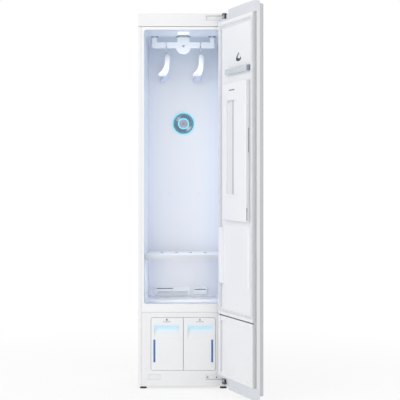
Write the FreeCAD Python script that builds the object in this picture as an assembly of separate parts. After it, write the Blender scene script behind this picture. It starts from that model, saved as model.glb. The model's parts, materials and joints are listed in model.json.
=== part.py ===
import FreeCAD, Part
import math
import os
from FreeCAD import Placement, Rotation, Vector

# Clothes care steam cabinet, in millimetres.
# Origin on the floor under the middle of the case; +X to the right, +Y to the back, +Z up.
# The door is drawn closed and then turned open about its hinge.

# Case
case_width = 445.0
case_depth = 529.0
case_height = 1850.0
base_underside = 11.0
sheet = 0.9
side_return = 14.5
side_corner_radius = 4.0
head_height = 64.0
head_depth = 30.0
head_corner_radius = 8.0
head_wall = 3.0
front_wall = 6.0
seam = 2.0
fit = 0.3
panel_gap = 0.8
leaf_gap = 1.0
back_screw_rows = 6
louvre_pitch = 120.0
louvre_half = 45.0
louvre_low = 190.0
louvre_step = 16.0
louvre_rows = 8
louvre_columns = (-1, 0, 1)

# Cavity
cavity_half_front = 194.0
cavity_half_back = 182.0
cavity_floor = 418.0
ceiling_drop = 80.0
ceiling_fall = 22.0
machine_depth = 129.0
cavity_radius_front = 12.0
cavity_radius_back = 18.0
liner_wall = 3.0

# Base front and water tanks
base_top = 377.0
base_seam = 1.0
bay_half_width = 160.0
bay_low = 90.0
bay_high = 352.0
bay_radius = 12.0
bay_depth = 205.0
bay_wall = 2.5
divider_half = 1.5
tank_gap = 1.4
tank_split = 1.0
tank_front_depth = 30.0
tank_wall = 2.5
tank_face = 3.0
tank_body_depth = 165.0
tank_body_top = 330.0
tank_side_gap = 2.5
grip_width = 123.0
grip_side = 21.5
grip_top = 312.0
grip_height = 56.0
grip_depth = 22.0
window_width = 10.0
window_side = 12.5
window_low = 130.0
window_height = 113.0
lid_height = 7.0
cap_radius = 20.0
tank_pull = 215.0

# Door, closed: v is measured from its inner face, positive into the case
door_gap = 6.0
door_thick = 50.0
door_width = 442.0
door_edge = 220.5
door_low = 22.0
door_open_angle = 110.0
skin_low = 39.0
skin_top_step = 12.0
skin_return = 20.0
skin_wall = 1.0
skin_radius = 8.0
top_cap_height = 51.0
bottom_cap_high = 77.0
groove_inset = 10.0
groove_width = 11.0
liner_lip = 3.0
door_liner_depth = 10.0
door_split = 370.0
door_split_gap = 5.0
frame_width = 24.0
recess_depth = 6.5
recess_near = 30.0
recess_edge = 41.0
recess_low = 409.0
recess_top_edge = 82.0
rib_height = 14.0
rib_near = 34.0
rib_width = 28.0
rib_low = 529.0
rib_high = 800.0
lower_recess_low = 95.0
lower_recess_high = 345.0
lower_recess_near = 33.0
lower_recess_far = 52.0
lower_recess_depth = 6.0
gasket_width = 12.0
gasket_thick = 5.4
gasket_offset = 1.0
gasket_top_edge = 66.0
gasket_low = 391.0

# Hinges
hinge_inset = 20.0
hinge_forward = 32.0
hinge_arm_half = 12.0
hinge_pin_radius = 5.0
hinge_leaf = 3.0
hinge_leaf_height = 22.0
hinge_leaf_near = 207.0
hinge_leaf_far = 112.0
upper_leaf_drop = 34.0
lower_leaf_low = 46.0
toe_cover_near = 171.0
toe_cover_height = 24.0
upper_arm_drop = 32.0
lower_arm_low = 30.0
hinge_arm_height = 27.0
hinge_plate = 4.0
hinge_web = 3.5
hinge_notch_width = 132.0
hinge_notch_step = 8.0
hinge_boss_radius = 15.0
pin_head_radius = 7.5
pin_head_thick = 2.0
bush_radius = 8.0
bush_flange = 11.0
bush_length = 17.0
running = 0.05

# Trouser presser and aroma tray on the door; u runs from the hinge edge across the door
presser_near = 102.0
presser_side_gap = 5.0
presser_low = 836.0
presser_high = 1491.0
presser_base_front = 3.2
presser_plate_back = 3.5
presser_front = 22.0
presser_hinge_radius = 4.0
presser_ear = 9.5
presser_pin_radius = 2.5
presser_grip_low = 1157.0
presser_grip_high = 1267.0
presser_ear_width = 9.0
presser_ear_room = 11.0
slot_near = 161.0
slot_far = 294.0
slot_low = 951.0
slot_high = 1406.0
slot_depth = 8.0
slit_u = 225.0
slit_width = 6.0
lip_overlap = 6.0
lip_height = 11.0
lip_rise = 4.0
lip_lift = 4.0
latch_low = 6.0
latch_high = 58.0
latch_depth = 4.0
latch_radius = 3.0
tray_near = 108.0
tray_low = 1534.0
tray_high = 1560.0
tray_front = 12.0
tray_wall = 2.0

# Moving hanger bar and its drive
bar_depth = 200.0
bar_half = 158.0
bar_below_ceiling = 59.0
bar_height = 30.0
bar_thick = 14.0
bar_travel = 10.0
arm_width = 23.0
arm_rise = 24.0
arm_neck = 8.0
arm_slot = 33.0
ceiling_slot_half_depth = 9.0
ceiling_slot_radius = 4.0
boss_half = 31.0
boss_rise = 26.0
bulge_radius = 38.0
bulge_rise = 7.0
notch_x = 86.0
notch_width = 6.0
notch_depth = 22.0
notch_lean = 8.0
centre_neck_half = 20.0
centre_slot_room = 4.0
rail_radius = 6.0
rail_above_ceiling = 39.0
rail_half = 185.0
lamp_half = 29.0
lamp_front = 60.0
lamp_length = 65.0
lamp_drop = 17.0
dimple_depth = 6.0
yoke_drop = 30.0
yoke_thick = 6.0
yoke_offset = 36.0
crank_angle = 50.0
crank_pin_radius = 4.0
crank_pin_gap = 0.7
crank_disc_radius = 22.0
crank_disc_gap = 2.0
crank_disc_thick = 8.0
motor_radius = 28.0
motor_gap = 7.0
motor_height = 44.0

# Hangers
hook_seat = 8.0
hook_wire = 2.0
hook_half_span = 11.0
hook_bend = 4.5
hanger_below_bar = 32.0
hanger_neck_length = 12.0
hanger_neck_radius = 8.0
hanger_neck_sink = 4.0
hanger_reach = 168.0
hanger_drop = 108.0
hanger_curve = 26.0
hanger_flare_power = 6.0
hanger_half_width_neck = 12.5
hanger_half_width_end = 22.5
hanger_half_thick_neck = 10.0
hanger_half_thick_end = 9.0

# Shelf
shelf_top = 656.0
shelf_rail = 18.0
shelf_plate = 4.0
shelf_front = 60.0
shelf_back_gap = 20.0
shelf_side_gap = 1.5
shelf_notch_pitch = 74.0
shelf_notch_depth = 248.0
shelf_notch_width = 16.0
shelf_notch_length = 40.0
ledge_height = 12.0
ledge_width = 7.0

# Fan unit on the cavity's back wall
fan_height = 1325.0
fan_bezel_radius = 60.0
fan_glow_inner = 52.5
fan_glow_outer = 58.0
fan_throat = 46.0
fan_vane_count = 24
fan_hub = 34.0
fan_inner_glow = 27.5
fan_bezel_thick = 6.0
fan_wheel_radius = 44.0
fan_blade_count = 9
duct_radius = 75.0
duct_depth = 77.0
duct_low = 480.0
duct_wall = 2.5

# Filter and steam outlet at the foot of the back wall
filter_left = -150.0
filter_right = 34.0
filter_low = 426.0
filter_high = 466.0
filter_face = 6.0
filter_body = 55.0
nozzle_left = 52.0
nozzle_right = 124.0
steam_outlet_height = 445.0

# Machine compartment
blower_x = -5.0
blower_z = 290.0
blower_radius = 75.0
blower_depth = 70.0
blower_wheel_radius = 56.0
blower_blade_count = 20
blower_outlet = 36.0
blower_wall = 2.5
coil_left = -165.0
coil_right = 90.0
coil_height = 150.0
coil_depth = 68.0
coil_slots = 16
slot_share = 0.66
compressor_x = -120.0
compressor_back = 314.5
accumulator_radius = 19.0
accumulator_low = 55.0
accumulator_high = 155.0
compressor_radius = 48.0
compressor_height = 170.0
boiler_left = 60.0
boiler_right = 160.0
boiler_inset = 234.5
boiler_depth = 95.0
boiler_height = 72.0
pipe_radius = 6.0
control_left = -190.0
control_right = -20.0
control_front_gap = 34.0
control_rear_gap = 19.5
control_height = 62.0
gland_x = -150.0
gland_z = 130.0

# Feet and rollers
foot_x = 198.0
foot_back = 28.0
foot_radius = 18.0
stem_radius = 5.0
stem_top = 42.0
foot_boss_radius = 10.0
foot_boss_top = 32.0
roller_x = 170.0
roller_front = 60.0
roller_radius = 16.0
roller_half_width = 12.0
roller_axle = 4.0
pan_wall = 1.5
pan_flange = 25.0

half = case_width / 2
front = -case_depth / 2
rear = case_depth / 2
head_low = case_height - head_height
cavity_depth = case_depth - machine_depth
cavity_top_front = case_height - ceiling_drop
cavity_top_back = cavity_top_front - ceiling_fall
shelf_back = cavity_depth - shelf_back_gap
back_wall = front + cavity_depth
liner_back = back_wall + liner_wall
door_back = front - door_gap
door_front = door_back - door_thick
door_left = door_edge - door_width
door_high = case_height
skin_high = door_high - skin_top_step
top_cap_low = door_high - top_cap_height
recess_high = door_high - recess_top_edge
gasket_top = door_high - gasket_top_edge
upper_leaf_low = case_height - upper_leaf_drop
upper_arm_low = case_height - upper_arm_drop
upper_arm_high = upper_arm_low + hinge_arm_height
lower_arm_high = lower_arm_low + hinge_arm_height
presser_far = door_width - recess_edge - presser_side_gap
tray_far = presser_far
far_rib_near = 2 * door_edge - rib_near - rib_width
hinge_x = half - hinge_inset
hinge_y = front - hinge_forward
bar_y = front + bar_depth
bar_ceiling = cavity_top_front - ceiling_fall * bar_depth / cavity_depth
bar_low = bar_ceiling - bar_below_ceiling
bar_high = bar_low + bar_height
arm_top = bar_high + arm_rise
boss_top = bar_high + boss_rise
bulge_centre = bar_low + bulge_rise
rail_height = bar_ceiling + rail_above_ceiling
yoke_low = rail_height - yoke_drop
crank_disc_low = yoke_low + yoke_thick + crank_disc_gap
motor_low = crank_disc_low + crank_disc_thick + motor_gap
hanger_neck_top = bar_low - hanger_below_bar
hanger_line = hanger_neck_top - hanger_neck_length
crank_radius = bar_travel / math.sin(math.radians(crank_angle))
yoke_y = bar_y + yoke_offset
crank_y = yoke_y + crank_radius * (1 + math.cos(math.radians(crank_angle))) / 2
compressor_y = front + compressor_back
boiler_front = front + boiler_inset
boiler_back = boiler_front + boiler_depth
control_back = rear - control_rear_gap
control_front = crank_y + motor_radius + control_front_gap
pipe_x = nozzle_right - 19
up = Vector(0, 0, 1)
forward = Vector(0, 1, 0)
across = Vector(1, 0, 0)


def block(x, y, z):
    """A box from the low and high values along each axis."""
    return Part.makeBox(x[1] - x[0], y[1] - y[0], z[1] - z[0], Vector(x[0], y[0], z[0]))


def rod(radius, start, end):
    return Part.makeCylinder(radius, (end - start).Length, start, end - start)


def ring(outer, inner, start, end):
    return rod(outer, start, end).cut(rod(inner, start, end))


def fuse(first, *others):
    return first.multiFuse(list(others)).removeSplitter()


def on_front(y):
    """Puts an outline's two coordinates on the upright plane at depth y."""
    return lambda a, b: Vector(a, y, b)


def on_floor(z):
    """Puts an outline's two coordinates on the level plane at height z."""
    return lambda a, b: Vector(a, b, z)


def rounded_wire(a, b, radii, put):
    """A rectangle with its own radius at each corner, from low-low round to low-high."""
    corners = [(a[0], b[0], 1, 1), (a[1], b[0], -1, 1), (a[1], b[1], -1, -1), (a[0], b[1], 1, -1)]
    bend = 1 - math.sqrt(0.5)
    edges = []
    ends = []
    for number, (x, z, inward_x, inward_z) in enumerate(corners):
        radius = radii[number]
        by_z = (x, z + inward_z * radius)
        by_x = (x + inward_x * radius, z)
        middle = (x + inward_x * radius * bend, z + inward_z * radius * bend)
        first, last = (by_z, by_x) if number % 2 == 0 else (by_x, by_z)
        edges.append(Part.Arc(put(*first), put(*middle), put(*last)).toShape())
        ends.append((first, last))
    outline = []
    for number in range(4):
        outline.append(edges[number])
        outline.append(Part.makeLine(put(*ends[number][1]), put(*ends[(number + 1) % 4][0])))
    return Part.Wire(outline)


def upright_prism(x, z, y, radii):
    """A rounded rectangle seen from the front, carried back from y[0] to y[1]."""
    wire = rounded_wire(x, z, radii, on_front(y[0]))
    return Part.Face(wire).extrude(Vector(0, y[1] - y[0], 0))


def level_prism(x, y, z, radii):
    """A rounded rectangle seen from above, carried up from z[0] to z[1]."""
    wire = rounded_wire(x, y, radii, on_floor(z[0]))
    return Part.Face(wire).extrude(Vector(0, 0, z[1] - z[0]))


def profile_prism(points, x):
    """A side-view outline of (y, z) points, carried across from x[0] to x[1]."""
    corners = [Vector(x[0], y, z) for y, z in points]
    face = Part.Face(Part.makePolygon(corners + corners[:1]))
    return face.extrude(Vector(x[1] - x[0], 0, 0))


def round_edges(shape, radius, chosen):
    """Fillets the edges whose box centre and direction pass the test."""
    picked = []
    for edge in shape.Edges:
        box = edge.BoundBox
        if chosen(box.Center, Vector(box.XLength, box.YLength, box.ZLength)):
            picked.append(edge)
    return shape.makeFillet(radius, picked)


def mirrored(shape):
    return shape.mirror(Vector(0, 0, 0), across)


def open_door(shape):
    turned = shape.copy()
    turned.rotate(Vector(hinge_x, hinge_y, 0), up, door_open_angle)
    return turned


def door_block(u, v, z):
    """A box on the closed door: u across from the hinge edge, v out of its inner face."""
    return block((door_edge - u[1], door_edge - u[0]), (door_back + v[0], door_back + v[1]), z)


def side_panel():
    """The left side: a folded sheet with a return at the front and at the back."""
    z = (base_underside, head_low - seam)
    outer = (-half, -half + side_return)
    inner = (-half + sheet, -half + side_return + 1)
    r = side_corner_radius
    s = r - sheet
    skin = level_prism(outer, (front, rear), z, (r, 0.2, 0.2, r))
    return skin.cut(level_prism(inner, (front + sheet, rear - sheet), z, (s, 0.2, 0.2, s)))


def top_front_panel():
    r = head_corner_radius
    shell = upright_prism((-half, half), (head_low, case_height), (front, front + head_depth), (1, 1, r, r))
    shell = round_edges(shell, 2, lambda c, s: s.y < 0.01 and abs(c.y - front) < 0.01)
    hollow = block(
        (-half + head_wall, half - head_wall),
        (front + front_wall, front + head_depth + 1),
        (head_low + head_wall, case_height - head_wall),
    )
    return shell.cut(hollow).cut(leaf_recess(upper_leaf_low))


def top_cover():
    r = head_corner_radius
    low = head_low - seam + fit
    y = (front + head_depth, rear)
    shell = upright_prism((-half, half), (low, case_height), y, (0.2, 0.2, r, r))
    inner = upright_prism(
        (-half + sheet, half - sheet),
        (low - 1, case_height - sheet),
        (y[0] - 1, y[1] - sheet),
        (0.2, 0.2, r - sheet, r - sheet),
    )
    return shell.cut(inner)


def back_cover():
    x = half - side_corner_radius - fit
    plate = block((-x, x), (rear - 2 * sheet, rear - sheet), (base_underside + pan_wall, head_low - seam))
    cuts = []
    for column in louvre_columns:
        for row in range(louvre_rows):
            middle = column * louvre_pitch
            z = louvre_low + row * louvre_step
            x = (middle - louvre_half, middle + louvre_half)
            cuts.append(upright_prism(x, (z, z + 5), (rear - 4, rear), (2.4,) * 4))
    for place in back_screw_places():
        cuts.append(rod(2.1, place - forward * 6, place + forward * 2))
    cuts.append(rod(10, Vector(gland_x, rear - 6, gland_z), Vector(gland_x, rear, gland_z)))
    return plate.cut(Part.makeCompound(cuts))


def back_screw_places():
    low = base_underside + 49
    high = head_low - 46
    places = []
    for side in (-1, 1):
        for step in range(back_screw_rows):
            z = low + (high - low) * step / (back_screw_rows - 1)
            places.append(Vector(side * (half - side_return - 8), rear - sheet, z))
    return places


def back_screws():
    """Pan-head screws: a low domed head on a short shank, with a cross cut in the head."""
    screws = []
    for place in back_screw_places():
        head = rod(4.2, place, place + forward * 1.1)
        shank = rod(2.0, place - forward * 5, place)
        cross = block(
            (place.x - 2.4, place.x + 2.4), (place.y + 0.5, place.y + 2), (place.z - 0.4, place.z + 0.4)
        )
        screws.append(fuse(head, shank).cut(cross))
    return Part.makeCompound(screws)


def base_pan():
    x = half - sheet
    y = (front + front_wall, rear - 2 * sheet)
    low = base_underside
    r = side_corner_radius
    tray = level_prism((-x, x), y, (low, low + pan_flange), (0.2, 0.2, r, r))
    tray = tray.cut(
        block(
            (-x + pan_wall, x - pan_wall), (y[0] + pan_wall, y[1] - pan_wall), (low + pan_wall, low + 100)
        )
    )
    added = []
    removed = []
    for side in (-1, 1):
        foot = Vector(side * foot_x, front + foot_back, 0)
        added.append(rod(foot_boss_radius, foot + up * (low + pan_wall), foot + up * foot_boss_top))
        removed.append(rod(stem_radius + running, foot, foot + up * (foot_boss_top + 1)))
        middle = Vector(side * roller_x, rear - roller_front, roller_radius)
        inner = roller_half_width + fit
        outer = inner + 3
        reach = roller_radius + 3
        removed.append(
            block((middle.x - inner, middle.x + inner), (middle.y - reach, middle.y + reach), (0, low + 5))
        )
        for face in (-1, 1):
            near, far = sorted((middle.x + face * inner, middle.x + face * outer))
            added.append(block((near, far), (middle.y - 14, middle.y + 14), (low, middle.z + 12)))
        added.append(rod(roller_axle, middle - across * outer, middle + across * outer))
    return fuse(tray.cut(Part.makeCompound(removed)), *added).cut(Part.makeCompound(removed[::2]))


def cavity_half(depth):
    return cavity_half_front + (cavity_half_back - cavity_half_front) * depth / cavity_depth


def cavity_top(depth):
    return cavity_top_front + (cavity_top_back - cavity_top_front) * depth / cavity_depth


def cavity_form(grow, start, end):
    """The tapered inside of the cavity between two depths, grown all round by a wall."""
    wires = []
    for depth in (start, end):
        x = cavity_half(depth) + grow
        share = depth / cavity_depth
        radius = cavity_radius_front + (cavity_radius_back - cavity_radius_front) * share + grow
        z = (cavity_floor - grow, cavity_top(depth) + grow)
        wires.append(rounded_wire((-x, x), z, (radius,) * 4, on_front(front + depth)))
    return Part.makeLoft(wires, True, True)


def cavity_liner():
    """One moulded liner: flange, tapered walls, ceiling slots, wall openings and shelf ledges."""
    x = half - side_return - panel_gap
    flange = block((-x, x), (front, front + liner_wall), (base_top + base_seam, head_low - seam))
    outside = cavity_form(liner_wall, 1.0, cavity_depth + liner_wall)
    walls = fuse(flange, outside).cut(cavity_form(0, -2.0, cavity_depth))
    low = shelf_top - shelf_rail - fit
    ledges = []
    for side in (-1, 1):
        near, far = sorted((side * (cavity_half_back - ledge_width), side * (half - side_return)))
        ledge = block(
            (near, far), (front + shelf_front + 12, front + shelf_back), (low - ledge_height, low)
        )
        ledges.append(ledge.common(outside))
    walls = fuse(walls, *ledges)
    return walls.cut(Part.makeCompound(liner_openings()))


def liner_openings():
    cuts = []
    ceiling = (cavity_top_back - 10, cavity_top_front + 10)
    depth = (bar_y - ceiling_slot_half_depth, bar_y + ceiling_slot_half_depth)
    for side in (-1, 1):
        middle = side * (bar_half - arm_width / 2)
        cuts.append(
            level_prism(
                (middle - arm_slot / 2, middle + arm_slot / 2), depth, ceiling, (ceiling_slot_radius,) * 4
            )
        )
    reach = centre_neck_half + bar_travel + centre_slot_room
    cuts.append(level_prism((-reach, reach), depth, ceiling, (ceiling_slot_radius,) * 4))
    wall = (back_wall - 5, liner_back + 5)
    middle = Vector(0, 0, fan_height)
    cuts.append(rod(fan_throat + 4, middle + forward * wall[0], middle + forward * wall[1]))
    inset = 5 - fit
    cuts.append(
        block((filter_left + inset, filter_right - inset), wall, (filter_low + inset, filter_high - inset))
    )
    outlet = Vector(pipe_x, 0, steam_outlet_height)
    cuts.append(rod(pipe_radius + fit, outlet + forward * wall[0], outlet + forward * wall[1]))
    return cuts


def side_insulation():
    """Foam that fills the space between each side panel and the liner."""
    form = cavity_form(liner_wall, 1.0, cavity_depth + liner_wall)
    pads = []
    for side in (-1, 1):
        near, far = sorted((side * (cavity_half_back - 2), side * (half - sheet)))
        slab = block(
            (near, far),
            (front + side_corner_radius + fit, back_wall - 20),
            (cavity_floor + 20, cavity_top_back - 20),
        )
        pads.append(slab.cut(form))
    return Part.makeCompound([pad for group in pads for pad in group.Solids])


def leaf_recess(low):
    x = (hinge_leaf_far - leaf_gap, half + 1)
    return block(x, (front - 1, front + hinge_leaf), (low - leaf_gap, low + hinge_leaf_height + leaf_gap))


def base_front_panel():
    x = half - side_return - panel_gap
    panel = block((-x, x), (front, front + front_wall), (base_underside + pan_wall, base_top))
    r = bay_radius
    opening = upright_prism(
        (-bay_half_width, bay_half_width),
        (bay_low, bay_high),
        (front - 1, front + front_wall + 1),
        (r,) * 4,
    )
    rim = upright_prism(
        (-bay_half_width - 2, bay_half_width + 2),
        (bay_low - 2, bay_high + 2),
        (front - 1, front + 0.8),
        (r + 2,) * 4,
    )
    g = leaf_gap
    toe_z = (lower_leaf_low - g, lower_leaf_low + toe_cover_height + g)
    toe = block((-toe_cover_near - g, -hinge_leaf_far + g), (front - 1, front + hinge_leaf), toe_z)
    return panel.cut(Part.makeCompound([opening, toe, leaf_recess(lower_leaf_low)])).cut(rim)


def toe_cover():
    """Blank cover over the hinge seat that the door doesn't use."""
    z = (lower_leaf_low, lower_leaf_low + toe_cover_height)
    return upright_prism((-toe_cover_near, -hinge_leaf_far), z, (front + 0.4, front + hinge_leaf), (2,) * 4)


def tank_bay():
    """Housing behind the base front with a cell for each tank."""
    y = (front + front_wall, front + front_wall + bay_depth)
    w = bay_wall
    r = bay_radius
    outer = upright_prism(
        (-bay_half_width - w, bay_half_width + w),
        (bay_low - w, bay_high + w),
        (y[0], y[1] + w),
        (r + w,) * 4,
    )
    inner = upright_prism(
        (-bay_half_width, bay_half_width), (bay_low, bay_high), (y[0] - 1, y[1]), (r,) * 4
    )
    divider = block(
        (-divider_half, divider_half), (front + tank_front_depth + 4, y[1]), (bay_low, bay_high)
    )
    return fuse(outer.cut(inner), divider)


def tank_window_x():
    edge = bay_half_width - window_side
    return (-edge, -edge + window_width)


def tank_front():
    """Left tank's moulded front: rounded face, rim, sloping grip recess and level slot."""
    x = (-bay_half_width + tank_gap, -tank_split)
    z = (bay_low + tank_gap, bay_high - tank_gap)
    y = (front, front + tank_front_depth)
    r = bay_radius - tank_gap
    w = tank_wall
    shell = upright_prism(x, z, y, (r, 1, 1, r))
    shell = round_edges(shell, 0.8, lambda c, s: s.y < 0.01 and abs(c.y - front) < 0.01)
    hollow = upright_prism(
        (x[0] + w, x[1] - w), (z[0] + w, z[1] - w), (y[0] + tank_face, y[1] + 1), (r - w, 0.5, 0.5, r - w)
    )
    grip_x = (-grip_side - grip_width, -grip_side)
    low = grip_top - grip_height
    pocket = profile_prism(
        [
            (front + 1, low - w),
            (front + grip_depth + w, grip_top - 18),
            (front + grip_depth + w, grip_top + w),
            (front + 1, grip_top + w),
        ],
        (grip_x[0] - w, grip_x[1] + w),
    )
    scoop = profile_prism(
        [
            (front - 1, low - 2.5),
            (front + grip_depth, grip_top - 16),
            (front + grip_depth, grip_top),
            (front - 1, grip_top),
        ],
        grip_x,
    )
    slot = upright_prism(
        tank_window_x(),
        (window_low, window_low + window_height),
        (front - 1, front + tank_face + 1),
        (4,) * 4,
    )
    return fuse(shell.cut(hollow), pocket).cut(scoop).cut(slot)


def tank_body():
    """Left tank's open vessel, with the clear level bar that shows through its front."""
    x = (-bay_half_width + tank_side_gap, -divider_half - tank_side_gap)
    y = (front + tank_front_depth, front + tank_front_depth + tank_body_depth)
    z = (bay_low + 3, tank_body_top)
    w = tank_wall
    outer = level_prism(x, y, z, (6, 6, 14, 14))
    outer = round_edges(outer, 5, lambda c, s: s.z < 0.01 and abs(c.z - z[0]) < 0.01)
    inner = level_prism((x[0] + w, x[1] - w), (y[0] + w, y[1] - w), (z[0] + w, z[1] + 1), (4, 4, 11, 11))
    bar_x = tank_window_x()
    bar = upright_prism(
        (bar_x[0] + fit, bar_x[1] - fit),
        (window_low + fit, window_low + window_height - fit),
        (front + 0.3, y[0] + 1),
        (3.7,) * 4,
    )
    return fuse(outer.cut(inner), bar)


def tank_lid():
    """Left tank's lid: a rimmed plate with a plug that drops into the vessel and a round cap."""
    x = (-bay_half_width + tank_side_gap, -divider_half - tank_side_gap)
    y = (front + tank_front_depth, front + tank_front_depth + tank_body_depth)
    w = tank_wall + fit
    z = tank_body_top
    plate = level_prism(x, y, (z, z + lid_height), (6, 6, 14, 14))
    plug = level_prism((x[0] + w, x[1] - w), (y[0] + w, y[1] - w), (z - 5, z), (4, 4, 11, 11))
    plug = plug.cut(
        level_prism((x[0] + w + 2, x[1] - w - 2), (y[0] + w + 2, y[1] - w - 2), (z - 6, z), (3, 3, 9, 9))
    )
    middle = Vector((x[0] + x[1]) / 2, (y[0] + y[1]) / 2, 0)
    groove = ring(
        cap_radius + 2, cap_radius, middle + up * (z + lid_height - 3), middle + up * (z + lid_height + 1)
    )
    cap = rod(cap_radius, middle + up * (z + lid_height - 1), middle + up * (z + lid_height + 5))
    bars = block(
        (middle.x - cap_radius + 4, middle.x + cap_radius - 4),
        (middle.y - 2, middle.y + 2),
        (z + lid_height + 3, z + lid_height + 6),
    )
    return fuse(plate, plug).cut(groove).fuse(cap).cut(bars).removeSplitter()


def hinge_arm(leaf_low, arm_low, pin_from, pin_to):
    """A folded hinge: leaf on the case front, channel out to the pin, pin with its head."""
    z = (arm_low, arm_low + hinge_arm_height)
    leaf_z = (leaf_low, leaf_low + hinge_leaf_height)
    axis = Vector(hinge_x, hinge_y, 0)
    leaf = block((hinge_leaf_far, hinge_leaf_near), (front, front + hinge_leaf), leaf_z)
    leaf = round_edges(leaf, 3, lambda c, s: s.y > 1 and abs(c.x - hinge_leaf_far) < 0.1)
    x = (hinge_x - hinge_arm_half, hinge_x + hinge_arm_half)
    shared = (max(z[0], leaf_z[0]), min(z[1], leaf_z[1]))
    root = block((x[0], hinge_leaf_near), (front - 1, front + 1), shared)
    channel = fuse(
        block(x, (hinge_y, front - fit), z), rod(hinge_arm_half, axis + up * z[0], axis + up * z[1])
    )
    hollow = block(
        (x[0] - 1, x[1] - hinge_web),
        (hinge_y - hinge_arm_half - 1, front - fit - hinge_web),
        (z[0] + hinge_plate, z[1] - hinge_plate),
    )
    pin = rod(hinge_pin_radius, axis + up * pin_from, axis + up * pin_to)
    head_low = z[1] if pin_from < z[0] else z[0] - pin_head_thick
    head = rod(pin_head_radius, axis + up * head_low, axis + up * (head_low + pin_head_thick))
    screws = []
    for screw_x in (hinge_leaf_far + 8, hinge_leaf_near - 43):
        centre = Vector(screw_x, front, leaf_low + hinge_leaf_height / 2)
        screws.append(rod(3.5, centre - forward, centre + forward * 0.8))
    return fuse(leaf, root, channel.cut(hollow), pin, head).cut(Part.makeCompound(screws))


def hinge_pocket(z, step):
    """Open corner of the door round a hinge, stepped deeper outside the boss that holds its bush."""
    room = 1.5
    axis = Vector(hinge_x, hinge_y, 0)
    wide = hinge_arm_half + room
    hub = rod(wide, axis + up * z[0], axis + up * z[1])
    x = (door_edge - hinge_notch_width, door_edge + 1)
    notch_y = (door_front + skin_return, door_back + 1)
    floor_z = (z[0] - step[0], z[1] + step[1])
    boss = rod(hinge_boss_radius, axis + up * floor_z[0], axis + up * floor_z[1])
    notch = fuse(block(x, notch_y, z), block(x, notch_y, floor_z).cut(boss))
    aside = block((hinge_x, hinge_x + 40), (hinge_y - wide, hinge_y + wide), z)
    aside.rotate(axis, up, 90 - door_open_angle)
    return fuse(hub, notch, aside)


def both_pockets():
    upper = hinge_pocket((upper_arm_low - 3, door_high + 1), (hinge_notch_step, 0))
    lower = hinge_pocket((door_low - 1, lower_arm_high + 3), (0, hinge_notch_step))
    return [upper, lower]


def door_skin():
    """Outer pan of the door: face and returns in one shell."""
    x = (door_left, door_edge)
    y = (door_front, door_front + skin_return)
    pan = block(x, y, (skin_low, skin_high))
    pan = round_edges(
        pan, skin_radius, lambda c, s: abs(c.y - door_front) < 0.01 or (s.y > 1 and s.x + s.z < 1)
    )
    w = skin_wall
    inner = block((x[0] + w, x[1] - w), (y[0] + w, y[1] + 1), (skin_low + w, skin_high - w))
    r = skin_radius - w
    inner = round_edges(inner, r, lambda c, s: abs(c.y - y[0] - w) < 0.01 or (s.y > 1 and s.x + s.z < 1))
    return pan.cut(inner).cut(Part.makeCompound(both_pockets()))


def door_frame():
    """Moulded ring between skin and liner, with a grip groove down both edges."""
    step = door_front + skin_return
    w = skin_wall
    inside = block(
        (door_left + w, door_edge - w), (door_front + skin_radius + 2, step), (skin_low + w, skin_high - w)
    )
    inside = round_edges(inside, skin_radius - w, lambda c, s: s.y > 1 and s.x + s.z < 1)
    z = (bottom_cap_high, top_cap_low)
    edge = block((door_left, door_edge), (step, door_back - liner_lip - groove_width), z)
    neck = block(
        (door_left + groove_inset, door_edge - groove_inset),
        (door_back - liner_lip - groove_width, door_back - liner_lip),
        z,
    )
    body = fuse(inside, edge, neck)
    f = frame_width
    hollow = block(
        (door_left + f, door_edge - f), (door_front, door_back), (bottom_cap_high + f, top_cap_low - f)
    )
    bed = block(
        (door_left + f - 4, door_edge - f + 4),
        (door_back - door_liner_depth, door_back),
        (bottom_cap_high - 1, top_cap_low + 1),
    )
    return body.cut(hollow).cut(bed).cut(Part.makeCompound(both_pockets() + bush_rooms()))


def bush_rooms():
    """Seats for the hinge bushes, at the top and at the foot of the door."""
    axis = Vector(hinge_x, hinge_y, 0)
    top = rod(bush_radius, axis + up * (upper_arm_low - 3 - bush_length), axis + up * upper_arm_low)
    low = rod(bush_radius, axis + up * lower_arm_high, axis + up * (bottom_cap_high + 1))
    return [top, low]


def door_core():
    """Foam board that fills the door between its skin and its liner."""
    f = frame_width
    return block(
        (door_left + f, door_edge - f),
        (door_front + skin_wall, door_back - door_liner_depth),
        (bottom_cap_high + f, top_cap_low - f),
    )


def door_liner_blank(low, high):
    """A liner panel: thin lip over the grooves, deeper pan between them."""
    lip = block((door_left, door_edge), (door_back - liner_lip, door_back), (low, high))
    f = frame_width - 4
    pan = block((door_left + f, door_edge - f), (door_back - door_liner_depth, door_back), (low, high))
    return fuse(lip, pan)


def door_recess(u, z, depth, radius):
    x = (door_edge - u[1], door_edge - u[0])
    return upright_prism(x, z, (door_back - depth, door_back + 1), (radius,) * 4)


def door_liner():
    """Upper liner with its shallow recess and two moulded ribs."""
    body = door_liner_blank(door_split + door_split_gap, top_cap_low)
    far = door_width - recess_edge
    body = body.cut(door_recess((recess_near, far), (recess_low, recess_high), recess_depth, 12))
    ribs = []
    for near in (rib_near, far_rib_near):
        rib = door_block((near, near + rib_width), (-recess_depth - 1, rib_height), (rib_low, rib_high))
        rib = round_edges(rib, 7, lambda c, s: abs(c.y - door_back - rib_height) < 0.1)
        ribs.append(rib)
    return fuse(body, *ribs)


def door_lower_panel():
    body = door_liner_blank(bottom_cap_high, door_split)
    u = (lower_recess_near, door_width - lower_recess_far)
    return body.cut(door_recess(u, (lower_recess_low, lower_recess_high), lower_recess_depth, 5))


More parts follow.
